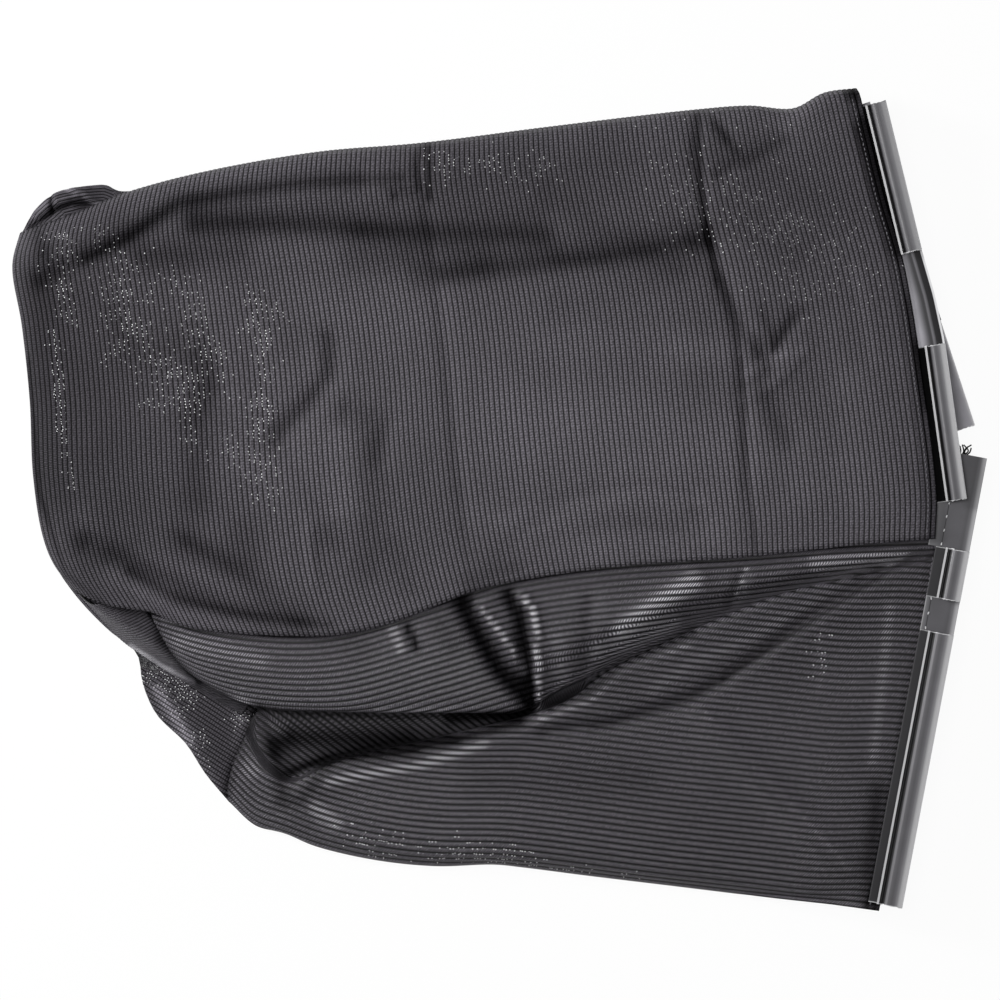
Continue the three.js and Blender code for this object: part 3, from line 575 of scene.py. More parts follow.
# Painted shade and painted highlights: recess and creases painted almost black, ridges and lobes brighter
BOTTOM_PAINTED_SHADING = [
    ([(-134, -156), (-60, -157)], 11, -0.82),
    ([(-154, -136), (-129, -140), (-64, -142), (14, -140)], 2.6, -0.6),
    ([(-32, -144), (18, -139)], 4.5, -0.8), ([(-146, -160), (-141, -196)], 6, -0.6),
    ([(-154, -142), (-149, -166)], 5, -0.4),
    ([(-136, -179), (-126, -174), (-103, -169), (-71, -164), (-25, -156), (14, -145)], 4, -0.8),
    ([(-112, -184), (-97, -181), (-51, -173), (-10, -159)], 4, 0.55),
    ([(-120, -200), (-106, -212)], 5, 0.4), ([(-112, -174), (-119, -182), (-129, -196)], 6, -0.45),
    ([(-44, -152), (-30, -158)], 6, -0.3),
    ([(-157, -135), (-166, -156), (-174, -175), (-178, -196)], 2.5, -0.7), ([(-161, -176)], 9, 0.25),
    ([(-80, -138), (20, -136)], 3, 0.3), ([(-207, -92), (-155, -105)], 8, 0.22), ([(-168, -134)], 7, 0.4),
    ([(-224, -77), (-219, -92), (-207, -108), (-196, -118), (-178, -128)], 2, -0.6),
    ([(-116, -79), (-90, -98)], 12, -0.22), ([(-24, -67), (-13, -90), (1, -112), (20, -131)], 7, -0.95),
    ([(-11, -72), (1, -87), (9, -98), (18, -115)], 1.8, 0.5), ([(6, -62), (14, -77), (17, -92)], 4.6, -1.0),
    ([(17, -92), (21, -124), (21, -137)], 2.6, -0.8),
    ([(15, -63), (23, -74), (25, -105), (26, -137)], 1.5, 1.0),
    ([(13, -76), (15, -98), (19, -122)], 5, -0.6), ([(38, -92), (42, -120)], 7, 0.2),
    ([(80, -84), (104, -68), (126, -54)], 6, 0.6), ([(64, -98), (112, -82)], 9, 0.3),
    ([(34, -136), (56, -126), (84, -108), (124, -88)], 5, -0.65), ([(134, -56), (157, -66)], 4, -0.1),
    ([(160, -46), (153, -66)], 1.6, 0.6), ([(-69, -84), (-64, -98)], 3.4, 0.45),
    ([(-60, -83), (-53, -97)], 2.6, -0.85), ([(26, -144), (59, -131), (82, -111), (124, -94)], 2.6, 0.5),
    ([(100, -124), (126, -106), (150, -96), (222, -60)], 6, 0.18), ([(-40, -80), (-30, -96)], 6, -0.25),
    ([(206, -42), (262, -38)], 6, 0.4), ([(268, -38), (224, -66), (185, -92), (146, -118)], 1.8, -0.45),
    ([(146, -118), (126, -130), (98, -140), (60, -149)], 3, -0.3), ([(-12, -182), (92, -180)], 15, -0.22),
    ([(134, -140), (228, -241)], 2.5, 0.16), ([(140, -150), (224, -246)], 5, -0.16),
    ([(254, -70), (250, -110), (243, -170)], 4.5, 0.26), ([(209, -79), (209, -124)], 3, 0.15),
    ([(246, -190), (240, -262)], 7, -0.6),
]
BOTTOM_HOLES = [
    ([(-92, -223), (20, -236)], 8, 0.6), ([(40, -243), (90, -250)], 5, 0.5),
    ([(211, -90), (207, -114)], 5, 0.6),
]


def lines_across(lines, columns):
    """Points at even stations of every line: the grid that a folded panel is drawn through."""
    stations = np.linspace(0, 1, columns)
    return np.stack([along_line(cloth_line(line), stations) for line in lines])


def bottom_surface(rows=300, columns=146):
    lines = lines_across(PLEAT_LINES, columns)
    dense = np.stack([cloth_line(lines[:, j]) for j in range(columns)], 1)
    reach = run_lengths(dense)
    mean, numbers = reach.mean(1), np.arange(len(dense))
    at = np.interp(np.linspace(0, mean[-1], rows), mean, numbers)
    pick = np.stack([np.interp(at, numbers, reach[:, j]) for j in range(columns)], 1)
    x, y, z = (np.stack([np.interp(at, numbers, dense[:, j, axis]) for j in range(columns)], 1)
               for axis in range(3))
    line = (at / (len(dense) - 1) * (len(PLEAT_LINES) - 1))[:, None]
    from_edge = reach[-1] - pick
    from_seam = BOTTOM_TURN - pick
    turn = ramp(line, *TURN)
    ribs = (from_seam * (1 - turn) + from_edge * turn) / BOTTOM_RIB_PITCH
    aslant = (ramp(line, *RECESS_TOP) * ramp(line, *RECESS_FOOT)
              * ramp(x, *RECESS_RIGHT) * ramp(x, *RECESS_LEFT))
    slanted = (ACROSS_RECESS[0] * x + ACROSS_RECESS[1] * y) / RECESS_RIB_PITCH
    meeting = (np.abs(x - MEETING_X) < MEETING_REACH) & (np.abs(line - MEETING_LINE) < MEETING_LINES)
    slanted += (ribs - slanted)[meeting].mean()
    ribs = ribs * (1 - aslant) + slanted * aslant
    z = z - patches(x, y, BOTTOM_FOLDS) * ramp(z, *FOLDED_LEVEL)
    z = np.maximum(z, rear_height(x, y) + RIM_LIFT)
    points = np.stack([x, y, z], -1)[::-1]
    return points, ribs[::-1], run_lengths(points, 1)


bottom_points, bottom_ribs, bottom_run = bottom_surface()
bottom_mouth_edge = [line[-1][:2] for line in PLEAT_LINES[5:]]
dressed_cloth("bottom_cloth", bottom_points, bottom_ribs, bottom_run, BOTTOM_PAINTED_SHADING, BOTTOM_HOLES,
              BOTTOM_FOLDS, bottom_mouth_edge)

# %% [markdown]
# ### End panel and lower layer
#
# A strip of the end panel shows at the closed corner. The two panels underneath lie flat on the
# floor and show only at the left, where the upper layer doesn't cover them, and from below.

# %% End panel
LOWER_TONE = 0.9
END_RIB_SHARE = 0.7
# Painted shade along the seams and the corner, and a painted highlight along one crest
END_PAINTED_SHADING = [
    ([(-240, -58), (-226, -72), (-220, -92), (-207, -107), (-196, -117)], 4, -0.6),
    ([(-196, -118), (-160, -134)], 11, -0.5), ([(-240, -96), (-220, -109), (-200, -119)], 2.2, 0.7),
    ([(-262, -64), (-240, -78)], 5, -0.2),
]


def end_surface(rows=40, columns=260):
    lines = lines_across(END_LINES, columns)
    steps = np.linspace(0, 1, rows)
    dense = np.stack([along_line(cloth_line(lines[:, j]), steps) for j in range(columns)], 1)
    x, y, z = dense[..., 0], dense[..., 1], dense[..., 2]
    z = np.maximum(z, rear_height(x, y) + MESH_THICKNESS + SEAT_GAP)
    points = np.stack([x, y, z], -1)
    return points, run_lengths(points, 1) / END_RIB_PITCH, run_lengths(points)


dressed_cloth("end_cloth", *end_surface(), END_PAINTED_SHADING, base_tone=LOWER_TONE, rib_share=END_RIB_SHARE)

# %% Lower layer
REAR_LENGTH = 590
REAR_RIB_SHARE = 0.6
REAR_ROWS = 48
FLAP_START = 0.8
CORNER_ACROSS = (0.545, 0.839)
REAR_HOLES = [
    ([(-226, -109), (-206, -124)], 9, 1.5), ([(-171, -137)], 8, 1.8), ([(-196, -158)], 6, 0.9),
    ([(-209, -142)], 5, 0.7), ([(-190, -172)], 5, 0.35),
]
FLAP_RIGHT = (-244, -8)
FLAP_FOOT = (160, 6)
FLAP_FULL = 1.6
CORNER_RIGHT = (-150, -10)
CORNER_TOP = (-100, -10)
FLAP_RIB_PITCH = 2.0
FLAP_FOLDS = [
    ([(-306, 177), (-289, 188), (-279, 193), (-264, 192)], 2.6, 3.2),
    ([(-281, 202), (-271, 198), (-262, 192)], 1.8, -2.2), ([(-292, 198), (-292, 187)], 1.5, 2.6),
    ([(-300, 186), (-290, 194)], 3, -1.4), ([(-266, 204), (-255, 198)], 2.0, 1.8),
    ([(-288, 193), (-276, 197)], 1.6, -1.6),
]
# Painted shade in the creases of the flap and the corner, painted highlights on their edges
REAR_PAINTED_SHADING = [
    ([(-300, 188), (-262, 200)], 16, -0.22),
    ([(-306, 177), (-289, 188), (-279, 193), (-264, 192)], 3, -0.5),
    ([(-281, 202), (-271, 198), (-262, 192)], 1.6, 0.9), ([(-292, 198), (-292, 187)], 1.5, -0.5),
    ([(-303, 184), (-294, 195)], 3, 0.35), ([(-288, 193), (-276, 197)], 1.6, 0.45),
    ([(-225, -112), (-190, -140), (-180, -180)], 18, -0.30), ([(-224, -125), (-203, -157)], 3.4, 1.7),
    ([(-206, -156), (-186, -184)], 2.4, 0.3), ([(-168, -146), (-172, -176)], 4, 0.30),
    ([(-157, -135), (-166, -156), (-174, -175), (-178, -196)], 2.6, -0.8),
    ([(-226, -98), (-200, -116), (-160, -138)], 4, -0.4),
]


def rear_surface(edges, steps, draw_back, width):
    ribs_wide = int(REAR_LENGTH / FRONT_RIB_PITCH)
    u, v, x, y = plan_grid(edges, np.linspace(0, 1, ribs_wide * 3 + 1), steps)
    y = y - draw_back * v
    from_flap = np.hypot(x - FLAP_CENTRE[0], y - FLAP_CENTRE[1]) / FLAP_RADIUS
    bundle = FLAP_HEIGHT * np.exp(-from_flap ** 2)
    folds = patches(x, y, FLAP_FOLDS) * smooth(bundle / FLAP_HEIGHT * FLAP_FULL)
    z = rear_height(x, y) + np.maximum(bundle - folds, 0)
    rolled = ramp(x, *FLAP_RIGHT) * ramp(y, *FLAP_FOOT)
    flap_ribs = distance_to_line(x, y, REAR_TOP[:6]) / FLAP_RIB_PITCH
    ribs = u * ribs_wide * (1 - rolled) + flap_ribs * rolled
    corner = ramp(x, *CORNER_RIGHT) * ramp(y, *CORNER_TOP)
    side, up = CORNER_ACROSS
    ribs = ribs * (1 - corner) + (side * x + up * y) / CORNER_RIB_PITCH * corner
    run = v * width * (1 - corner) + (up * x - side * y) * corner
    return np.stack([x, y, z], -1), ribs, run


upper_edges = [REAR_SEAM, REAR_TOP, REAR_UPPER_LEFT, REAR_UPPER_MOUTH]
lower_edges = [REAR_BOTTOM, REAR_SEAM, REAR_LOWER_LEFT, REAR_LOWER_MOUTH]
flap_steps = np.r_[np.linspace(0, FLAP_START, 18, endpoint=False), np.linspace(FLAP_START, 1, 32)]
rear_steps = np.linspace(0, 1, REAR_ROWS)
for name, surface in (
    ("rear_side_cloth", rear_surface(upper_edges, flap_steps, draw_back=0, width=190)),
    ("rear_top_cloth", rear_surface(lower_edges, rear_steps, draw_back=SEAM_GAP, width=280)),
):
    dressed_cloth(name, *surface, REAR_PAINTED_SHADING, REAR_HOLES, base_tone=LOWER_TONE,
                  rib_share=REAR_RIB_SHARE)

# %% [markdown]
# ### Clip strips
#
# The strips are extruded: a flat flange with a snap channel curled over its outer edge. A sharp
# lip stands up along the channel's inner side, with a groove between the lip and the round back of
# the channel. Every section is drawn once, as a line through the middle of the plastic, and swept
# along the strip. Each point of a section carries a painted shade and a painted highlight: painted
# shade on the flange, under the lip and in the groove, painted light and highlights on the round
# back, the lip and the edges. Between the snap stretches the channel was cut away, and the cut
# ends are rough and painted pale.

# %% Strip sections
CHANNEL_RADIUS = CHANNEL_HEIGHT / 2
GROOVE_SHARE = 0.33
BARE_STEP = 0.2
CUT_DEPTH = 0.7
STATION_SPACING = 5
CURL_POINTS = 15
LOOK_AHEAD = 8
RAGGEDNESS = 0.22
CUT_PALENESS = 0.8
STRIP_END_PALENESS = 0.1
FIRST_CUT = 2


def channel_section(width, flange, flange_shade, glint_strength):
    """Rows of across, up, painted shade and painted highlight along the wall's middle, flange to lip."""
    middle = PLASTIC_WALL / 2
    bend = CHANNEL_RADIUS - middle
    groove = width * GROOVE_SHARE
    # Flange: the strip's painted shade, with a faint painted highlight on its inner edge
    rows = [(-flange, middle, flange_shade * 1.4, 0.1 * flange_shade),
            (-flange + 0.8, middle, flange_shade, 0), (-width - 1, middle, flange_shade, 0),
            (-width + 3, middle, flange_shade * 0.8, 0), (-CHANNEL_RADIUS - 1, middle, 0.3, 0)]
    # Round back: painted lighter towards the outside, with a painted highlight along the outer edge
    for angle in np.radians(np.linspace(-90, 90, CURL_POINTS)):
        outward = 1 - np.degrees(angle) / 90
        shine = smooth(1.9 * outward + 0.26) * smooth((1.9 - outward) / 0.9)
        rows.append((-CHANNEL_RADIUS + bend * np.cos(angle), CHANNEL_RADIUS + bend * np.sin(angle),
                     1.5 + 0.8 * smooth(outward), glint_strength * shine))
    back = width - CHANNEL_RADIUS - groove
    # Top: painted light on the band, painted shade deep in the groove, a painted highlight on the lip's top
    rows += [(-CHANNEL_RADIUS - back * 0.25, 7.86, 1.4, 0),
             (-CHANNEL_RADIUS - back * 0.5, 7.8, 1.0, 0),
             (-width + groove + 1.2, 7.8, 1.25, 0), (-width + groove + 0.4, 7.7, 1.55, 0.02),
             (-width + groove - 0.1, 7.4, 1.0, 0), (-width + groove - 0.6, 6.6, 0.2, 0),
             (-width + groove * 0.6, 5.3, 0.08, 0), (-width + groove * 0.42, 5.1, 0.25, 0),
             (-width + 1.3, 5.4, 0.08, 0), (-width + 0.8, 6.3, 0.2, 0),
             (-width + 0.7, 6.9, 0.3, 0.1), (-width + 0.65, 7.5, 1.0, 0.5)]
    return np.array(rows), PLASTIC_WALL


def bare_section(flange, rows):
    """The same for a stretch without a channel, from its rows of across, painted shade and highlight."""
    middle = (PLASTIC_WALL + BARE_STEP) / 2
    edges = [(-flange, 1.2, 0.4), (-flange + 0.7, 1.0, 0.1)]
    rows = [(across, middle, shade, paleness_and_highlight) for across, shade, paleness_and_highlight in edges + rows]
    return np.array(rows), 2 * middle


def swept_strip(edge, section, wall, start, end, base, facing, rough_ends, seed):
    """Points, faces, painted shade, and painted highlight and paleness of one stretch of a strip."""
    line = np.asarray(edge, float)
    length = run_lengths(line)[-1]
    steps = int((end - start) / STATION_SPACING) + 2
    inner = np.linspace(start + CUT_DEPTH, end - CUT_DEPTH, steps)
    stations = np.r_[start, inner, end]
    place = along_line(line, stations / length)
    ahead = unit(along_line(line, (stations + LOOK_AHEAD) / length)
                 - along_line(line, (stations - LOOK_AHEAD) / length))
    out = np.stack([-ahead[:, 1], ahead[:, 0]], -1)
    slope = unit(np.gradient(section[:, :2], axis=0))
    side = np.stack([-slope[:, 1], slope[:, 0]], -1) * wall / 2
    loop = np.concatenate([section[:, :2] + side, (section[:, :2] - side)[::-1]])
    size, half = len(loop), len(section)
    ragged = np.random.default_rng(seed).normal(0, RAGGEDNESS, (2, half))
    ragged = np.concatenate([ragged, ragged[:, ::-1]], 1) * rough_ends
    slide = np.zeros((len(stations), size))
    slide[0], slide[-1] = ragged[0], ragged[1]
    plan = place[:, None] + out[:, None] * loop[None, :, :1] + ahead[:, None] * slide[..., None]
    level = np.broadcast_to(base + facing * loop[None, :, 1:], plan.shape[:2] + (1,))
    points = np.concatenate([plan, level], -1)
    index = np.arange(len(stations) * size).reshape(-1, size)
    after = np.roll(index, -1, axis=1)
    faces = np.stack([index[:-1], after[:-1], after[1:], index[1:]], -1).reshape(-1, 4)
    i = np.arange(half - 1)
    cap = np.stack([i, i + 1, size - 2 - i, size - 1 - i], -1)
    faces = np.concatenate([faces, cap, cap[:, ::-1] + index[-1, 0]])
    shade = np.broadcast_to(np.r_[section[:, 2], section[::-1, 2]], index.shape).copy()
    paleness_and_highlight = np.broadcast_to(np.r_[section[:, 3], section[::-1, 3]], index.shape).copy()
    if rough_ends:
        paleness_and_highlight[0] = CUT_PALENESS if start > FIRST_CUT else STRIP_END_PALENESS
        paleness_and_highlight[-1] = CUT_PALENESS
    return points.reshape(-1, 3), faces, shade.reshape(-1), paleness_and_highlight.reshape(-1)


# %% Strips
# Bare stretches: rows of across, painted shade and painted highlight; the notch has painted light and shade
FLAT_LIGHT_AND_SHADE = [(-19.2, 1.1, 0), (-18.7, 0.2, 0), (-18.2, 1.15, 0), (-16.5, 1.1, 0), (-8, 1.15, 0),
             (-5.5, 1.0, 0), (-3.4, 1.2, 0.05), (-1.8, 1.4, 0.3), (-0.5, 1.5, 0.42), (0, 1.0, 0.2)]
NOTCH_LIGHT_AND_SHADE = [(-16.6, 6.0, 0), (-15, 5.4, 0), (-12.5, 3.2, 0), (-10.5, 1.4, 0), (-9, 0.5, 0),
               (-7.8, 0.45, 0), (-6.8, 2.0, 0), (-6.0, 1.3, 0), (-5.1, 0.25, 0), (-2.2, 0.2, 0),
               (-1.5, 0.2, 0), (-1.1, 1.5, 0.9), (0, 1.5, 0.9)]
STRIPS = {
    "upper_clip_strip": dict(
        name="upper_strip", edge=[(251, 258), (274, 163), (283, 132), (289, 104), (303.5, 0)],
        length=264, clips=[(0, 99), (162, 264)], widths=(14.2, 13.9), flange=25,
        base=UPPER_FLANGE_BASE, facing=1, face_shade=0.03, flat_rows=NOTCH_LIGHT_AND_SHADE),
    "lower_clip_strip": dict(
        name="lower_strip", edge=[(317, 26), (261.5, -267)], length=297,
        clips=[(62, 95), (117, 297)], widths=(16, 17.2), flange=22,
        base=LOWER_FLANGE_BASE, facing=1, face_shade=0.35, flat_rows=FLAT_LIGHT_AND_SHADE),
    "rear_upper_clip_strip": dict(
        name="rear_upper_strip", edge=[(242, 259), (311, 48)], length=222,
        clips=[(3, 99), (150, 222)], widths=(12.8, 12.8), flange=22,
        base=CHANNEL_HEIGHT, facing=-1, face_shade=5.5, flat_rows=FLAT_LIGHT_AND_SHADE),
    "rear_lower_clip_strip": dict(
        name="rear_lower_strip", edge=[(297, 20), (256, -262)], length=286,
        clips=[(30, 80), (106, 286)], widths=(16, 16), flange=22,
        base=CHANNEL_HEIGHT, facing=-1, face_shade=1.0, flat_rows=FLAT_LIGHT_AND_SHADE),
}
SHARP_ANGLE = 0.7
FIRST_TONGUE = 5
FIRST_CLIP_END = 50
SHORTEST_BARE = 0.5
EDGE_HIGHLIGHT = (0.6, 1.0)


def strip_object(name, edge, length, clips, widths, flange, base, facing, face_shade, flat_rows):
    """One object for a strip: snap stretches, and bare stretches between them."""
    gaps = zip([0] + [clip[1] for clip in clips], [clip[0] for clip in clips] + [length])
    cuts = sorted([(start, end, True) for start, end in clips]
                  + [(start, end, False) for start, end in gaps if end - start > SHORTEST_BARE])
    points, faces, shade, paleness_and_highlight, count = [], [], [], [], 0
    for number, (start, end, snaps) in enumerate(cuts):
        reach = flange + FIRST_TONGUE if number == 0 and not snaps else flange
        later = start > FIRST_CLIP_END
        width = widths[1] if start > clips[0][0] else widths[0]
        if snaps:
            section, wall = channel_section(width, reach, face_shade, EDGE_HIGHLIGHT[later])
        else:
            section, wall = bare_section(reach, flat_rows)
        # Strips facing down show their flat face: one painted shade, or painted light on the upper one, all
        # over
        if facing < 0:
            section[:, 2] = face_shade
        parts = swept_strip(edge, section, wall, start, end, base, facing, snaps, number)
        points.append(parts[0])
        faces.append(parts[1] + count)
        shade.append(parts[2])
        paleness_and_highlight.append(parts[3])
        count += len(parts[0])
    mesh = bpy.data.meshes.new(name)
    mesh.from_pydata(in_frame(np.concatenate(points)), [], np.concatenate(faces).tolist())
    paint(mesh, "shade", np.concatenate(shade))
    paint(mesh, "paleness_and_highlight", np.concatenate(paleness_and_highlight))
    shell = bmesh.new()
    shell.from_mesh(mesh)
    bmesh.ops.recalc_face_normals(shell, faces=shell.faces)
    for face in shell.faces:
        face.smooth = True
    for line in shell.edges:
        line.smooth = line.calc_face_angle(0) < SHARP_ANGLE
    shell.to_mesh(mesh)
    shell.free()
    print(name, len(cuts), "stretches,", 2 * len(mesh.polygons), "triangles")
    return linked(name, mesh)


strips = {node: strip_object(**sizes) for node, sizes in STRIPS.items()}

# %% [markdown]
# ## Materials
#
# Colours are written as sRGB hex values, the way a swatch is read off a screen, and one function
# turns them to the linear values that a shader needs. The other functions each add one kind of
# node with its settings and links, or end a material.

# %% Material helpers
def linear(hex_colour):
    """sRGB hex to linear colour with alpha."""
    parts = [int(hex_colour[i:i + 2], 16) / 255 for i in (1, 3, 5)]
    return tuple(c / 12.92 if c <= 0.04045 else ((c + 0.055) / 1.055) ** 2.4 for c in parts) + (1.0,)


def add_node(tree, kind, inputs=None, **settings):
    """Adds a node, sets its settings, and fills or links its inputs."""
    node = tree.nodes.new(kind)
    for setting, value in settings.items():
        setattr(node, setting, value)
    for socket, value in (inputs or {}).items():
        if isinstance(value, bpy.types.NodeSocket):
            tree.links.new(value, node.inputs[socket])
        else:
            node.inputs[socket].default_value = value
    return node


def new_material(name):
    material = bpy.data.materials.new(name)
    material.use_nodes = True
    material.node_tree.nodes.clear()
    return material, material.node_tree


def maths(tree, operation, *values):
    node = add_node(tree, "ShaderNodeMath", dict(enumerate(values)), operation=operation)
    return node.outputs[0]


def vector_maths(tree, operation, first, second):
    node = add_node(tree, "ShaderNodeVectorMath", {0: first, 1: second}, operation=operation)
    return node.outputs[0]


def dimmed(tree, colour, shade):
    """A colour times a number."""
    node = add_node(tree, "ShaderNodeVectorMath", {0: colour, "Scale": shade}, operation="SCALE")
    return node.outputs[0]


def vector(tree, x, y):
    return add_node(tree, "ShaderNodeCombineXYZ", {0: x, 1: y}).outputs[0]


def ranged(tree, value, *limits, **settings):
    """Maps a value from one range, and no further, to another, which is 0 to 1 if not given."""
    inputs = {0: value, **dict(enumerate(limits, 1))}
    return add_node(tree, "ShaderNodeMapRange", inputs, **settings).outputs[0]


def blend(tree, share, first, second):
    """A mix of two colours, each a hex value or a link."""
    colours = [linear(colour) if isinstance(colour, str) else colour for colour in (first, second)]
    node = add_node(tree, "ShaderNodeMix", {0: share, 6: colours[0], 7: colours[1]}, data_type="RGBA")
    return node.outputs[2]


def noise(tree, place, size, detail=2.0, **settings):
    """Noise with patches of about one size."""
    inputs = {"Vector": place, "Scale": 1 / size, "Detail": detail}
    return add_node(tree, "ShaderNodeTexNoise", inputs, **settings).outputs["Fac"]


def painted(tree, label):
    """The number that is stored on the mesh under a label."""
    return add_node(tree, "ShaderNodeAttribute", attribute_name=label).outputs["Fac"]


def coat(tree, colour, roughness, height, depth, strength=1.0, settings=None):
    """Ends a material: a bump with its depth in millimetres, the shader and the output."""
    bump = add_node(tree, "ShaderNodeBump", {"Height": height, "Distance": depth * MM,
                                             "Strength": strength}).outputs["Normal"]
    shader = add_node(tree, "ShaderNodeBsdfPrincipled", {
        "Base Color": colour, "Roughness": roughness, "Normal": bump, **(settings or {})})
    add_node(tree, "ShaderNodeOutputMaterial", {"Surface": shader.outputs[0]})


# %% [markdown]
# ### Ribbed polyester mesh
#
# The cloth is a knitted polyester mesh, dyed charcoal. Each rib is a broad crest with a narrow
# valley, painted near black as painted shade, and fine threads run aslant across the crest. The
# painted shading of the folds darkens the colour and scales the shine as well, so painted creases
# lose their shine, and where it is brightest painted glints light the top of each loop. Where the
# cloth is stretched, the pin-holes in the valleys open, and pale dots are painted there: painted
# light for the bright ground shining through. The material reads the rib number and the distance
# along the rib, both from the UV map.

# %% Ribbed mesh material
THREAD_SPACING = 1.3
LOOP_SPACING = 1.75
HOLE_SPACING = 1.75
HOLE_RADIUS = 0.4
VALLEY_EDGE = 0.04
THREADS_ACROSS = 2.5
THREAD_SHADES = (0.3, 0.7, 0.7, 1.35)
LOOP_OFFSET = 2.3
CLOUD_SIZE = 45
CLOUD_SHADES = (0.3, 0.7, 0.92, 1.08)
GLINT_SHADING_RANGE = (1.1, 1.6)
LOOP_TOPS = (-0.5, 0.7)
RIDGE = (0.2, 0.4)
GLINT_COLOUR = "#e0dee4"
CLUSTER_SIZE = 9
CLUSTER_EDGE = (0.36, 0.5)
HOLE_WANDER = (0.55, 0.6, 0)
HOLE_LIGHT_COLOUR = "#d6d6d8"
CLOTH_IOR = 1.46


def ribbed_mesh(name, crest, valley, crown_start, roughness, shine, pitch, slant, loop_depth, glints):
    material, tree = new_material(name)
    uv = add_node(tree, "ShaderNodeUVMap", uv_map="knit").outputs["UV"]
    rib, run = add_node(tree, "ShaderNodeSeparateXYZ", {0: uv}).outputs[:2]
    off_valley = maths(tree, "PINGPONG", rib, 0.5)
    crown = ranged(tree, off_valley, VALLEY_EDGE, crown_start, interpolation_type="SMOOTHSTEP")
    slanted = maths(tree, "SUBTRACT", run, maths(tree, "MULTIPLY", rib, pitch * slant))
    knit_place = vector(tree, maths(tree, "MULTIPLY", rib, THREADS_ACROSS),
                        maths(tree, "MULTIPLY", slanted, 1 / THREAD_SPACING))
    threads = noise(tree, knit_place, 1.0, 1.0, noise_dimensions="2D")
    loop_step = maths(tree, "ADD", maths(tree, "MULTIPLY", slanted, 2 * np.pi / LOOP_SPACING),
                      maths(tree, "MULTIPLY", maths(tree, "FLOOR", rib), LOOP_OFFSET))
    loop_wave = maths(tree, "SINE", loop_step)
    loops = ranged(tree, loop_wave, -1.0, 1.0, 1 - loop_depth, 1 + loop_depth)
    thread_shade = maths(tree, "MULTIPLY", ranged(tree, threads, *THREAD_SHADES), loops)
    painted_shading = painted(tree, "painted_shading")
    place = add_node(tree, "ShaderNodeTexCoord").outputs["Object"]
    cloud = ranged(tree, noise(tree, place, CLOUD_SIZE * MM), *CLOUD_SHADES)
    shade = maths(tree, "MULTIPLY", maths(tree, "MULTIPLY", painted_shading, thread_shade), cloud)
    cloth = dimmed(tree, blend(tree, crown, valley, crest), shade)
    # Painted glints: where the painted shading is bright, the top of each loop is painted almost white
    glint = maths(tree, "MULTIPLY", ranged(tree, painted_shading, *GLINT_SHADING_RANGE, 0.0, glints),
                  ranged(tree, loop_wave, *LOOP_TOPS))
    glint = maths(tree, "MULTIPLY", glint, ranged(tree, off_valley, *RIDGE))
    cloth = blend(tree, glint, cloth, GLINT_COLOUR)
    # Pin-holes: one place in each valley every couple of millimetres, open by chance
    valley_number = maths(tree, "ROUND", rib)
    hole_run = maths(tree, "MULTIPLY", run, 1 / HOLE_SPACING)
    hole_number = maths(tree, "ROUND", hole_run)
    chances = add_node(tree, "ShaderNodeTexWhiteNoise", noise_dimensions="2D",
                       inputs={"Vector": vector(tree, valley_number, hole_number)}).outputs
    cluster = ranged(tree, noise(tree, place, CLUSTER_SIZE * MM), *CLUSTER_EDGE)
    density = maths(tree, "MULTIPLY", painted(tree, "holes"), cluster)
    is_open = maths(tree, "LESS_THAN", chances["Value"], density)
    # Each hole strays a little from its place, and keeps round whatever the pitch of the ribs
    offset = vector(tree, maths(tree, "SUBTRACT", rib, valley_number),
                    maths(tree, "SUBTRACT", hole_run, hole_number))
    stray = add_node(tree, "ShaderNodeSeparateColor", {0: chances["Color"]}).outputs
    wander = vector_maths(tree, "SUBTRACT", vector(tree, stray[0], stray[1]), (0.5, 0.5, 0))
    wander = vector_maths(tree, "MULTIPLY", wander, HOLE_WANDER)
    spot = vector_maths(tree, "MULTIPLY", vector_maths(tree, "SUBTRACT", offset, wander),
                        (pitch, HOLE_SPACING, 0))
    reach = add_node(tree, "ShaderNodeVectorMath", {0: spot}, operation="LENGTH").outputs["Value"]
    hole_light = maths(tree, "MULTIPLY", maths(tree, "LESS_THAN", reach, HOLE_RADIUS), is_open)
    # An open pin-hole is painted pale: painted light for the bright ground shining through it
    colour = blend(tree, hole_light, cloth, HOLE_LIGHT_COLOUR)
    relief = maths(tree, "MULTIPLY", crown, thread_shade)
    # The shine follows the painted shading, so painted shade dims the shine as well
    lit = maths(tree, "MULTIPLY", painted_shading, shine)
    coat(tree, colour, roughness, relief, depth=0.35, strength=0.8,
         settings={"IOR": CLOTH_IOR, "Specular IOR Level": lit})
    return material


# Valley colours are near black: painted shade in the narrow rib valleys, over the ribs' real shading
matt_mesh = ribbed_mesh("knitted_polyester_mesh_matt", "#524f55", "#0b0b0c", crown_start=0.25,
                        roughness=0.70, shine=0.29, pitch=FRONT_RIB_PITCH, slant=0.1,
                        loop_depth=0.34, glints=0.0)
gloss_mesh = ribbed_mesh("knitted_polyester_mesh_glossy", "#4e4b51", "#080808", crown_start=0.39,
                         roughness=0.40, shine=0.36, pitch=BOTTOM_RIB_PITCH, slant=1.0,
                         loop_depth=0.5, glints=0.9)
print("materials:", matt_mesh.name, gloss_mesh.name)

# %% [markdown]
# ### Extruded PVC
#
# The clip strips are extruded in a stiff PVC filled with carbon black. The surface has a fine grain
# and the low satin shine of a hard plastic that was never polished. The colour is scaled by the
# painted shade and painted light of each section, which also caps the shine, so the painted shade
# under the lip and in the groove stays black. The lip, the round outer edge and the notch edges
# are painted almost white as a painted highlight, and the cut ends are painted pale.

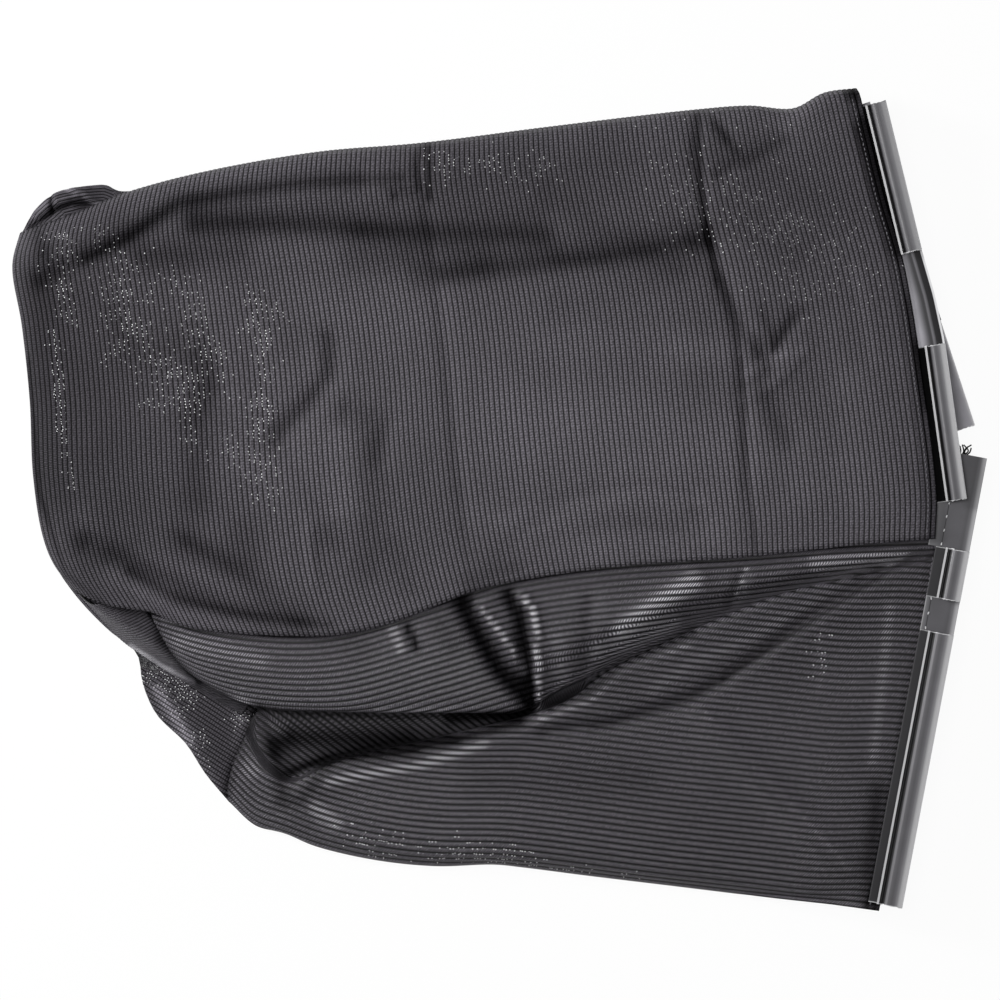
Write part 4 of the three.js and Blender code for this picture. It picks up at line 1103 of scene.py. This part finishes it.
# %% Extruded PVC material
PVC_CLOUD_SIZE = 14
PVC_GRAIN_SIZE = 0.8
PVC_HIGHLIGHT_AND_PALE_COLOUR = "#f2f2f4"
PVC_MOST_SHINE = 0.5
PVC_IOR = 1.53


def extruded_pvc(name, body, pale, roughness):
    material, tree = new_material(name)
    place = add_node(tree, "ShaderNodeTexCoord").outputs["Object"]
    cloud = noise(tree, place, PVC_CLOUD_SIZE * MM, 4.0)
    shade = painted(tree, "shade")
    # Colour scaled by the painted shade and light of each section, then painted highlight and pale cuts
    colour = dimmed(tree, blend(tree, cloud, body, pale), shade)
    colour = blend(tree, painted(tree, "paleness_and_highlight"), colour, PVC_HIGHLIGHT_AND_PALE_COLOUR)
    grain = noise(tree, place, PVC_GRAIN_SIZE * MM)
    # The painted shade also caps the shine, so painted shade stays dark
    lit = maths(tree, "MINIMUM", shade, PVC_MOST_SHINE)
    coat(tree, colour, roughness, grain, depth=0.03,
         settings={"IOR": PVC_IOR, "Specular IOR Level": lit})
    return material


pvc = extruded_pvc("extruded_pvc_satin", "#4a494c", "#58575b", 0.34)

# %% [markdown]
# ### Thread
#
# The hem is sewn with a grey polyester thread and the strips with a paler one. A stitch is a
# slim grain of twisted thread, pulled into the cloth at both ends. Black thread ends stand in a
# small tuft at the top of the lower strip.

# %% Thread material
FIBRE_SIZE = 0.4
FIBRE_SHADES = (0.3, 0.7, 0.6, 1.2)


def twisted_thread(name, colour, roughness):
    material, tree = new_material(name)
    place = add_node(tree, "ShaderNodeTexCoord").outputs["Object"]
    fibres = noise(tree, place, FIBRE_SIZE * MM)
    fibre = dimmed(tree, linear(colour)[:3], ranged(tree, fibres, *FIBRE_SHADES))
    coat(tree, fibre, roughness, fibres, depth=0.05)
    return material


grey_thread = twisted_thread("polyester_thread_grey", "#5e5c62", 0.5)
pale_thread = twisted_thread("polyester_thread_pale", "#d4d4d6", 0.5)
black_thread = twisted_thread("polyester_thread_black", "#141414", 0.6)

# %% [markdown]
# ### Rows of stitches
#
# A row of stitches is one line drawn on the cloth. A small geometry node tree turns the line into a
# curve, puts a point on it at every stitch and sets a grain of thread on each point, turned along
# the row. A fixed seed turns each stitch a little more, because no seam is sewn perfectly.

# %% Geometry nodes for a row of stitches
STITCH_LEAN = 0.25


def open_tree(name, inputs):
    tree = bpy.data.node_groups.new(name, "GeometryNodeTree")
    tree.interface.new_socket("Geometry", in_out="INPUT", socket_type="NodeSocketGeometry")
    for label, kind in inputs:
        tree.interface.new_socket(label, in_out="INPUT", socket_type=kind)
    tree.interface.new_socket("Geometry", in_out="OUTPUT", socket_type="NodeSocketGeometry")
    given = tree.nodes.new("NodeGroupInput").outputs
    path = add_node(tree, "GeometryNodeMeshToCurve", {"Mesh": given["Geometry"]}).outputs["Curve"]
    return tree, given, path


def close_tree(tree, geometry, given):
    realized = add_node(tree, "GeometryNodeRealizeInstances", {"Geometry": geometry}).outputs[0]
    coated = add_node(tree, "GeometryNodeSetMaterial", {"Geometry": realized, "Material": given["Thread"]})
    add_node(tree, "NodeGroupOutput", {"Geometry": coated.outputs[0]})
    return tree


def stitch_tree():
    tree, given, path = open_tree("row_of_stitches", [
        ("Spacing", "NodeSocketFloat"), ("Stitch", "NodeSocketFloat"), ("Radius", "NodeSocketFloat"),
        ("Thread", "NodeSocketMaterial")])
    beads = add_node(tree, "GeometryNodeCurveToPoints", {"Curve": path, "Length": given["Spacing"]},
                     mode="LENGTH").outputs
    ball = add_node(tree, "GeometryNodeMeshUVSphere", {
        "Segments": 8, "Rings": 5, "Radius": 1.0}).outputs[0]
    size = add_node(tree, "ShaderNodeCombineXYZ", {
        0: given["Radius"], 1: given["Radius"], 2: given["Stitch"]}).outputs[0]
    grain = add_node(tree, "GeometryNodeTransform", {"Geometry": ball, "Scale": size}).outputs[0]
    aim = add_node(tree, "FunctionNodeAlignRotationToVector", {"Vector": beads["Tangent"]},
                   axis="Z").outputs[0]
    placed = add_node(tree, "GeometryNodeInstanceOnPoints", {
        "Points": beads["Points"], "Instance": grain, "Rotation": aim}).outputs[0]
    lean = add_node(tree, "FunctionNodeRandomValue", {
        0: (-STITCH_LEAN,) * 3, 1: (STITCH_LEAN,) * 3, "Seed": 5}, data_type="FLOAT_VECTOR").outputs[0]
    turned = add_node(tree, "GeometryNodeRotateInstances", {"Instances": placed, "Rotation": lean})
    return close_tree(tree, turned.outputs[0], given)


def loose_tree():
    tree, given, path = open_tree("loose_thread", [
        ("Radius", "NodeSocketFloat"), ("Thread", "NodeSocketMaterial")])
    ring = add_node(tree, "GeometryNodeCurvePrimitiveCircle", {
        "Resolution": 6, "Radius": given["Radius"]}).outputs["Curve"]
    strand = add_node(tree, "GeometryNodeCurveToMesh", {
        "Curve": path, "Profile Curve": ring, "Fill Caps": True}).outputs[0]
    return close_tree(tree, strand, given)


def sewn(name, lines, tree, **settings):
    """Lines of points in millimetres, run through a node tree and kept as a plain mesh."""
    points = np.concatenate(lines)
    starts = np.cumsum([0] + [len(line) for line in lines[:-1]])
    edges = [(start + i, start + i + 1) for start, line in zip(starts, lines)
             for i in range(len(line) - 1)]
    mesh = bpy.data.meshes.new(name)
    mesh.from_pydata(in_frame(points), edges, [])
    piece = linked(name, mesh)
    modifier = piece.modifiers.new(name, "NODES")
    modifier.node_group = tree
    for socket in tree.interface.items_tree:
        if socket.in_out == "INPUT" and socket.name in settings:
            modifier[socket.identifier] = settings[socket.name]
    bpy.context.view_layer.update()
    worked = piece.evaluated_get(bpy.context.evaluated_depsgraph_get())
    sewn_mesh = bpy.data.meshes.new_from_object(worked)
    piece.modifiers.clear()
    piece.data = sewn_mesh
    print(name, len(sewn_mesh.polygons), "faces")
    return piece


stitches, loose = stitch_tree(), loose_tree()

# %% Lines for the stitches
HEM_STITCH_INSET = 5.4
HEM_ENDS = (0.015, 0.985)
CLOTH_TOP = MESH_THICKNESS / 2 + RIB_HEIGHT / 2
BARE_TOP = PLASTIC_WALL + BARE_STEP
STRIP_ROW_POINTS = 12


def inset_line(edge, inset, samples):
    """A line beside an edge, to its left as the edge runs from low to high."""
    line = along_line(cloth_line(edge), np.linspace(*HEM_ENDS, samples))
    run = unit(np.gradient(line, axis=0))
    return line + np.stack([-run[:, 1], run[:, 0]], -1) * inset


def on_cloth(grid, line, lift):
    """Points of a plan line, at the height of the nearest point of a cloth grid."""
    flat = grid.reshape(-1, 3)
    nearest = [np.argmin(((flat[:, :2] - place) ** 2).sum(1)) for place in line]
    return np.c_[line, flat[nearest, 2] + lift]


def along_strip(node, start, end, across):
    """A row of stitches on a bare stretch of a strip."""
    edge = np.asarray(STRIPS[node]["edge"], float)
    stations = np.linspace(start, end, STRIP_ROW_POINTS)
    line = along_line(edge, stations / run_lengths(edge)[-1])
    run = unit(line[-1] - line[0])
    level = np.full(STRIP_ROW_POINTS, STRIPS[node]["base"] + BARE_TOP)
    return np.c_[line + np.array([-run[1], run[0]]) * across, level]


front_hem = on_cloth(front_points, inset_line(FRONT_MOUTH_EDGE, HEM_STITCH_INSET, 90), CLOTH_TOP)
low_edge = inset_line(bottom_mouth_edge[::-1], HEM_STITCH_INSET + 1, 80)
bottom_hem = on_cloth(bottom_points[:120], low_edge, CLOTH_TOP)
strip_rows = [along_strip("lower_clip_strip", 33, 60, -18.7),
              along_strip("lower_clip_strip", 96, 115.5, -18.7),
              along_strip("upper_clip_strip", 101, 160, -17.5)]
TUFT = [
    [(300, 28, 8), (299, 31, 10), (301, 34, 11)], [(301, 28, 8), (301, 32, 11), (300, 35, 10)],
    [(302, 28, 8), (303, 31, 10), (302, 35, 12)], [(303, 28, 8), (304, 31, 9), (306, 34, 10)],
    [(303, 27, 8), (307, 30, 9), (308, 33, 10)], [(304, 28, 8), (304, 32, 10), (308, 35, 11)],
    [(301, 27, 8), (306, 31, 10), (303, 35, 11)],
]
hem_stitch = {"Spacing": 3.3 * MM, "Stitch": 1.15 * MM, "Radius": 0.40 * MM, "Thread": grey_thread}
threads = [
    sewn("front_hem_stitches", [front_hem], stitches, **hem_stitch),
    sewn("bottom_hem_stitches", [bottom_hem], stitches, **hem_stitch),
    sewn("strip_stitches", strip_rows, stitches, Spacing=8.55 * MM, Stitch=1.1 * MM,
         Radius=0.5 * MM, Thread=pale_thread),
    sewn("loose_thread_tuft", [cloth_line(strand) for strand in TUFT], loose, Radius=0.5 * MM,
         Thread=black_thread),
]

# %% [markdown]
# ## What stands for what
#
# Each fine panel takes the place of its CAD solid and rides on the one body of the bag.

# %% Panels in the frame
PANELS = [
    ("front_side_cloth", "front_side_panel", "front_mesh", matt_mesh, "laid",
     ["rear_side_cloth", "rear_top_cloth"]),
    ("bottom_cloth", "bottom_panel", "gloss_mesh", gloss_mesh, "folded", ["rear_top_cloth"]),
    ("end_cloth", "end_panel", "gloss_mesh", gloss_mesh, "folded", ["rear_top_cloth"]),
    ("rear_side_cloth", "rear_side_panel", "front_mesh", matt_mesh, "laid", ["rear_upper_strip"]),
    ("rear_top_cloth", "rear_top_panel", "front_mesh", matt_mesh, "laid", ["rear_lower_strip"]),
]
for name, node, slot, material, held, rests_on in PANELS:
    piece, (area, width, length) = panels[name]
    piece.data.materials.append(material)
    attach(piece, "root")
    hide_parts(node)
    print(piece.name, "stands for", node)

for node, strip in strips.items():
    strip.data.materials.append(pvc)
    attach(strip, "root")
    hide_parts(node)

for piece in threads:
    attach(piece, "root")

# %% [markdown]
# ## Floor, light and camera
#
# The photograph is a plain product picture taken from straight above on white. A large soft lamp
# overhead and a second one low at the upper left show the ribs and folds, and a long lens high
# above the bag keeps the view almost without perspective.

# %% Floor
FLOOR_SIZE = 12
FLOOR_LEVEL = -0.0005
SEEN_WHITE = 0.95
bpy.ops.mesh.primitive_plane_add(size=FLOOR_SIZE, location=(0, 0, FLOOR_LEVEL))
floor = bpy.context.object
floor.name = "studio_floor"
material, tree = new_material("studio_floor_white")
rays = add_node(tree, "ShaderNodeLightPath").outputs
seen = maths(tree, "MAXIMUM", rays["Is Camera Ray"], rays["Is Glossy Ray"])
seen = maths(tree, "MAXIMUM", seen, rays["Is Transmission Ray"])
matt = add_node(tree, "ShaderNodeBsdfDiffuse", {"Color": linear("#f4f4f4")}).outputs[0]
bright = add_node(tree, "ShaderNodeEmission", {"Color": linear("#ffffff"), "Strength": 1.0}).outputs[0]
share = maths(tree, "MULTIPLY", seen, SEEN_WHITE)
mixed = add_node(tree, "ShaderNodeMixShader", {0: share, 1: matt, 2: bright}).outputs[0]
add_node(tree, "ShaderNodeOutputMaterial", {"Surface": mixed})
floor.data.materials.append(material)

# %% Lights
def soft_lamp(name, place, size, power, aim=(0, 0, 0)):
    lamp = bpy.data.lights.new(name, "AREA")
    lamp.shape = "DISK"
    lamp.size = size
    lamp.energy = power
    holder = linked(name, lamp)
    holder.location = place
    holder.rotation_euler = (Vector(aim) - Vector(place)).to_track_quat("-Z", "Y").to_euler()


soft_lamp("overhead_softbox", (-0.35, 0.2, 1.8), 0.8, 12)
soft_lamp("low_side_softbox", (-1.5, 0.6, 0.75), 0.5, 32)
AIR_BRIGHTNESS = 0.26
world = bpy.data.worlds.new("studio_air")
world.use_nodes = True
sky = world.node_tree.nodes["Background"].inputs
sky["Color"].default_value = linear("#ffffff")
sky["Strength"].default_value = AIR_BRIGHTNESS
bpy.context.scene.world = world

# %% Camera
VIEW_WIDTH = 0.650
CAMERA_HEIGHT = 3.0
BAG_LEVEL = 0.02
SENSOR = 36.0
PICTURE_CENTRE = (0.65, -0.975)
camera_data = bpy.data.cameras.new("camera")
camera_data.sensor_width = SENSOR
camera_data.lens = SENSOR * (CAMERA_HEIGHT - BAG_LEVEL) / VIEW_WIDTH
camera = linked("camera", camera_data)
camera.location = (PICTURE_CENTRE[0] * MM + shift[0] * MM, PICTURE_CENTRE[1] * MM + shift[1] * MM,
                   CAMERA_HEIGHT)
bpy.context.scene.camera = camera
bpy.context.scene.view_settings.view_transform = "Standard"
print("lens", round(camera_data.lens, 1), "mm")
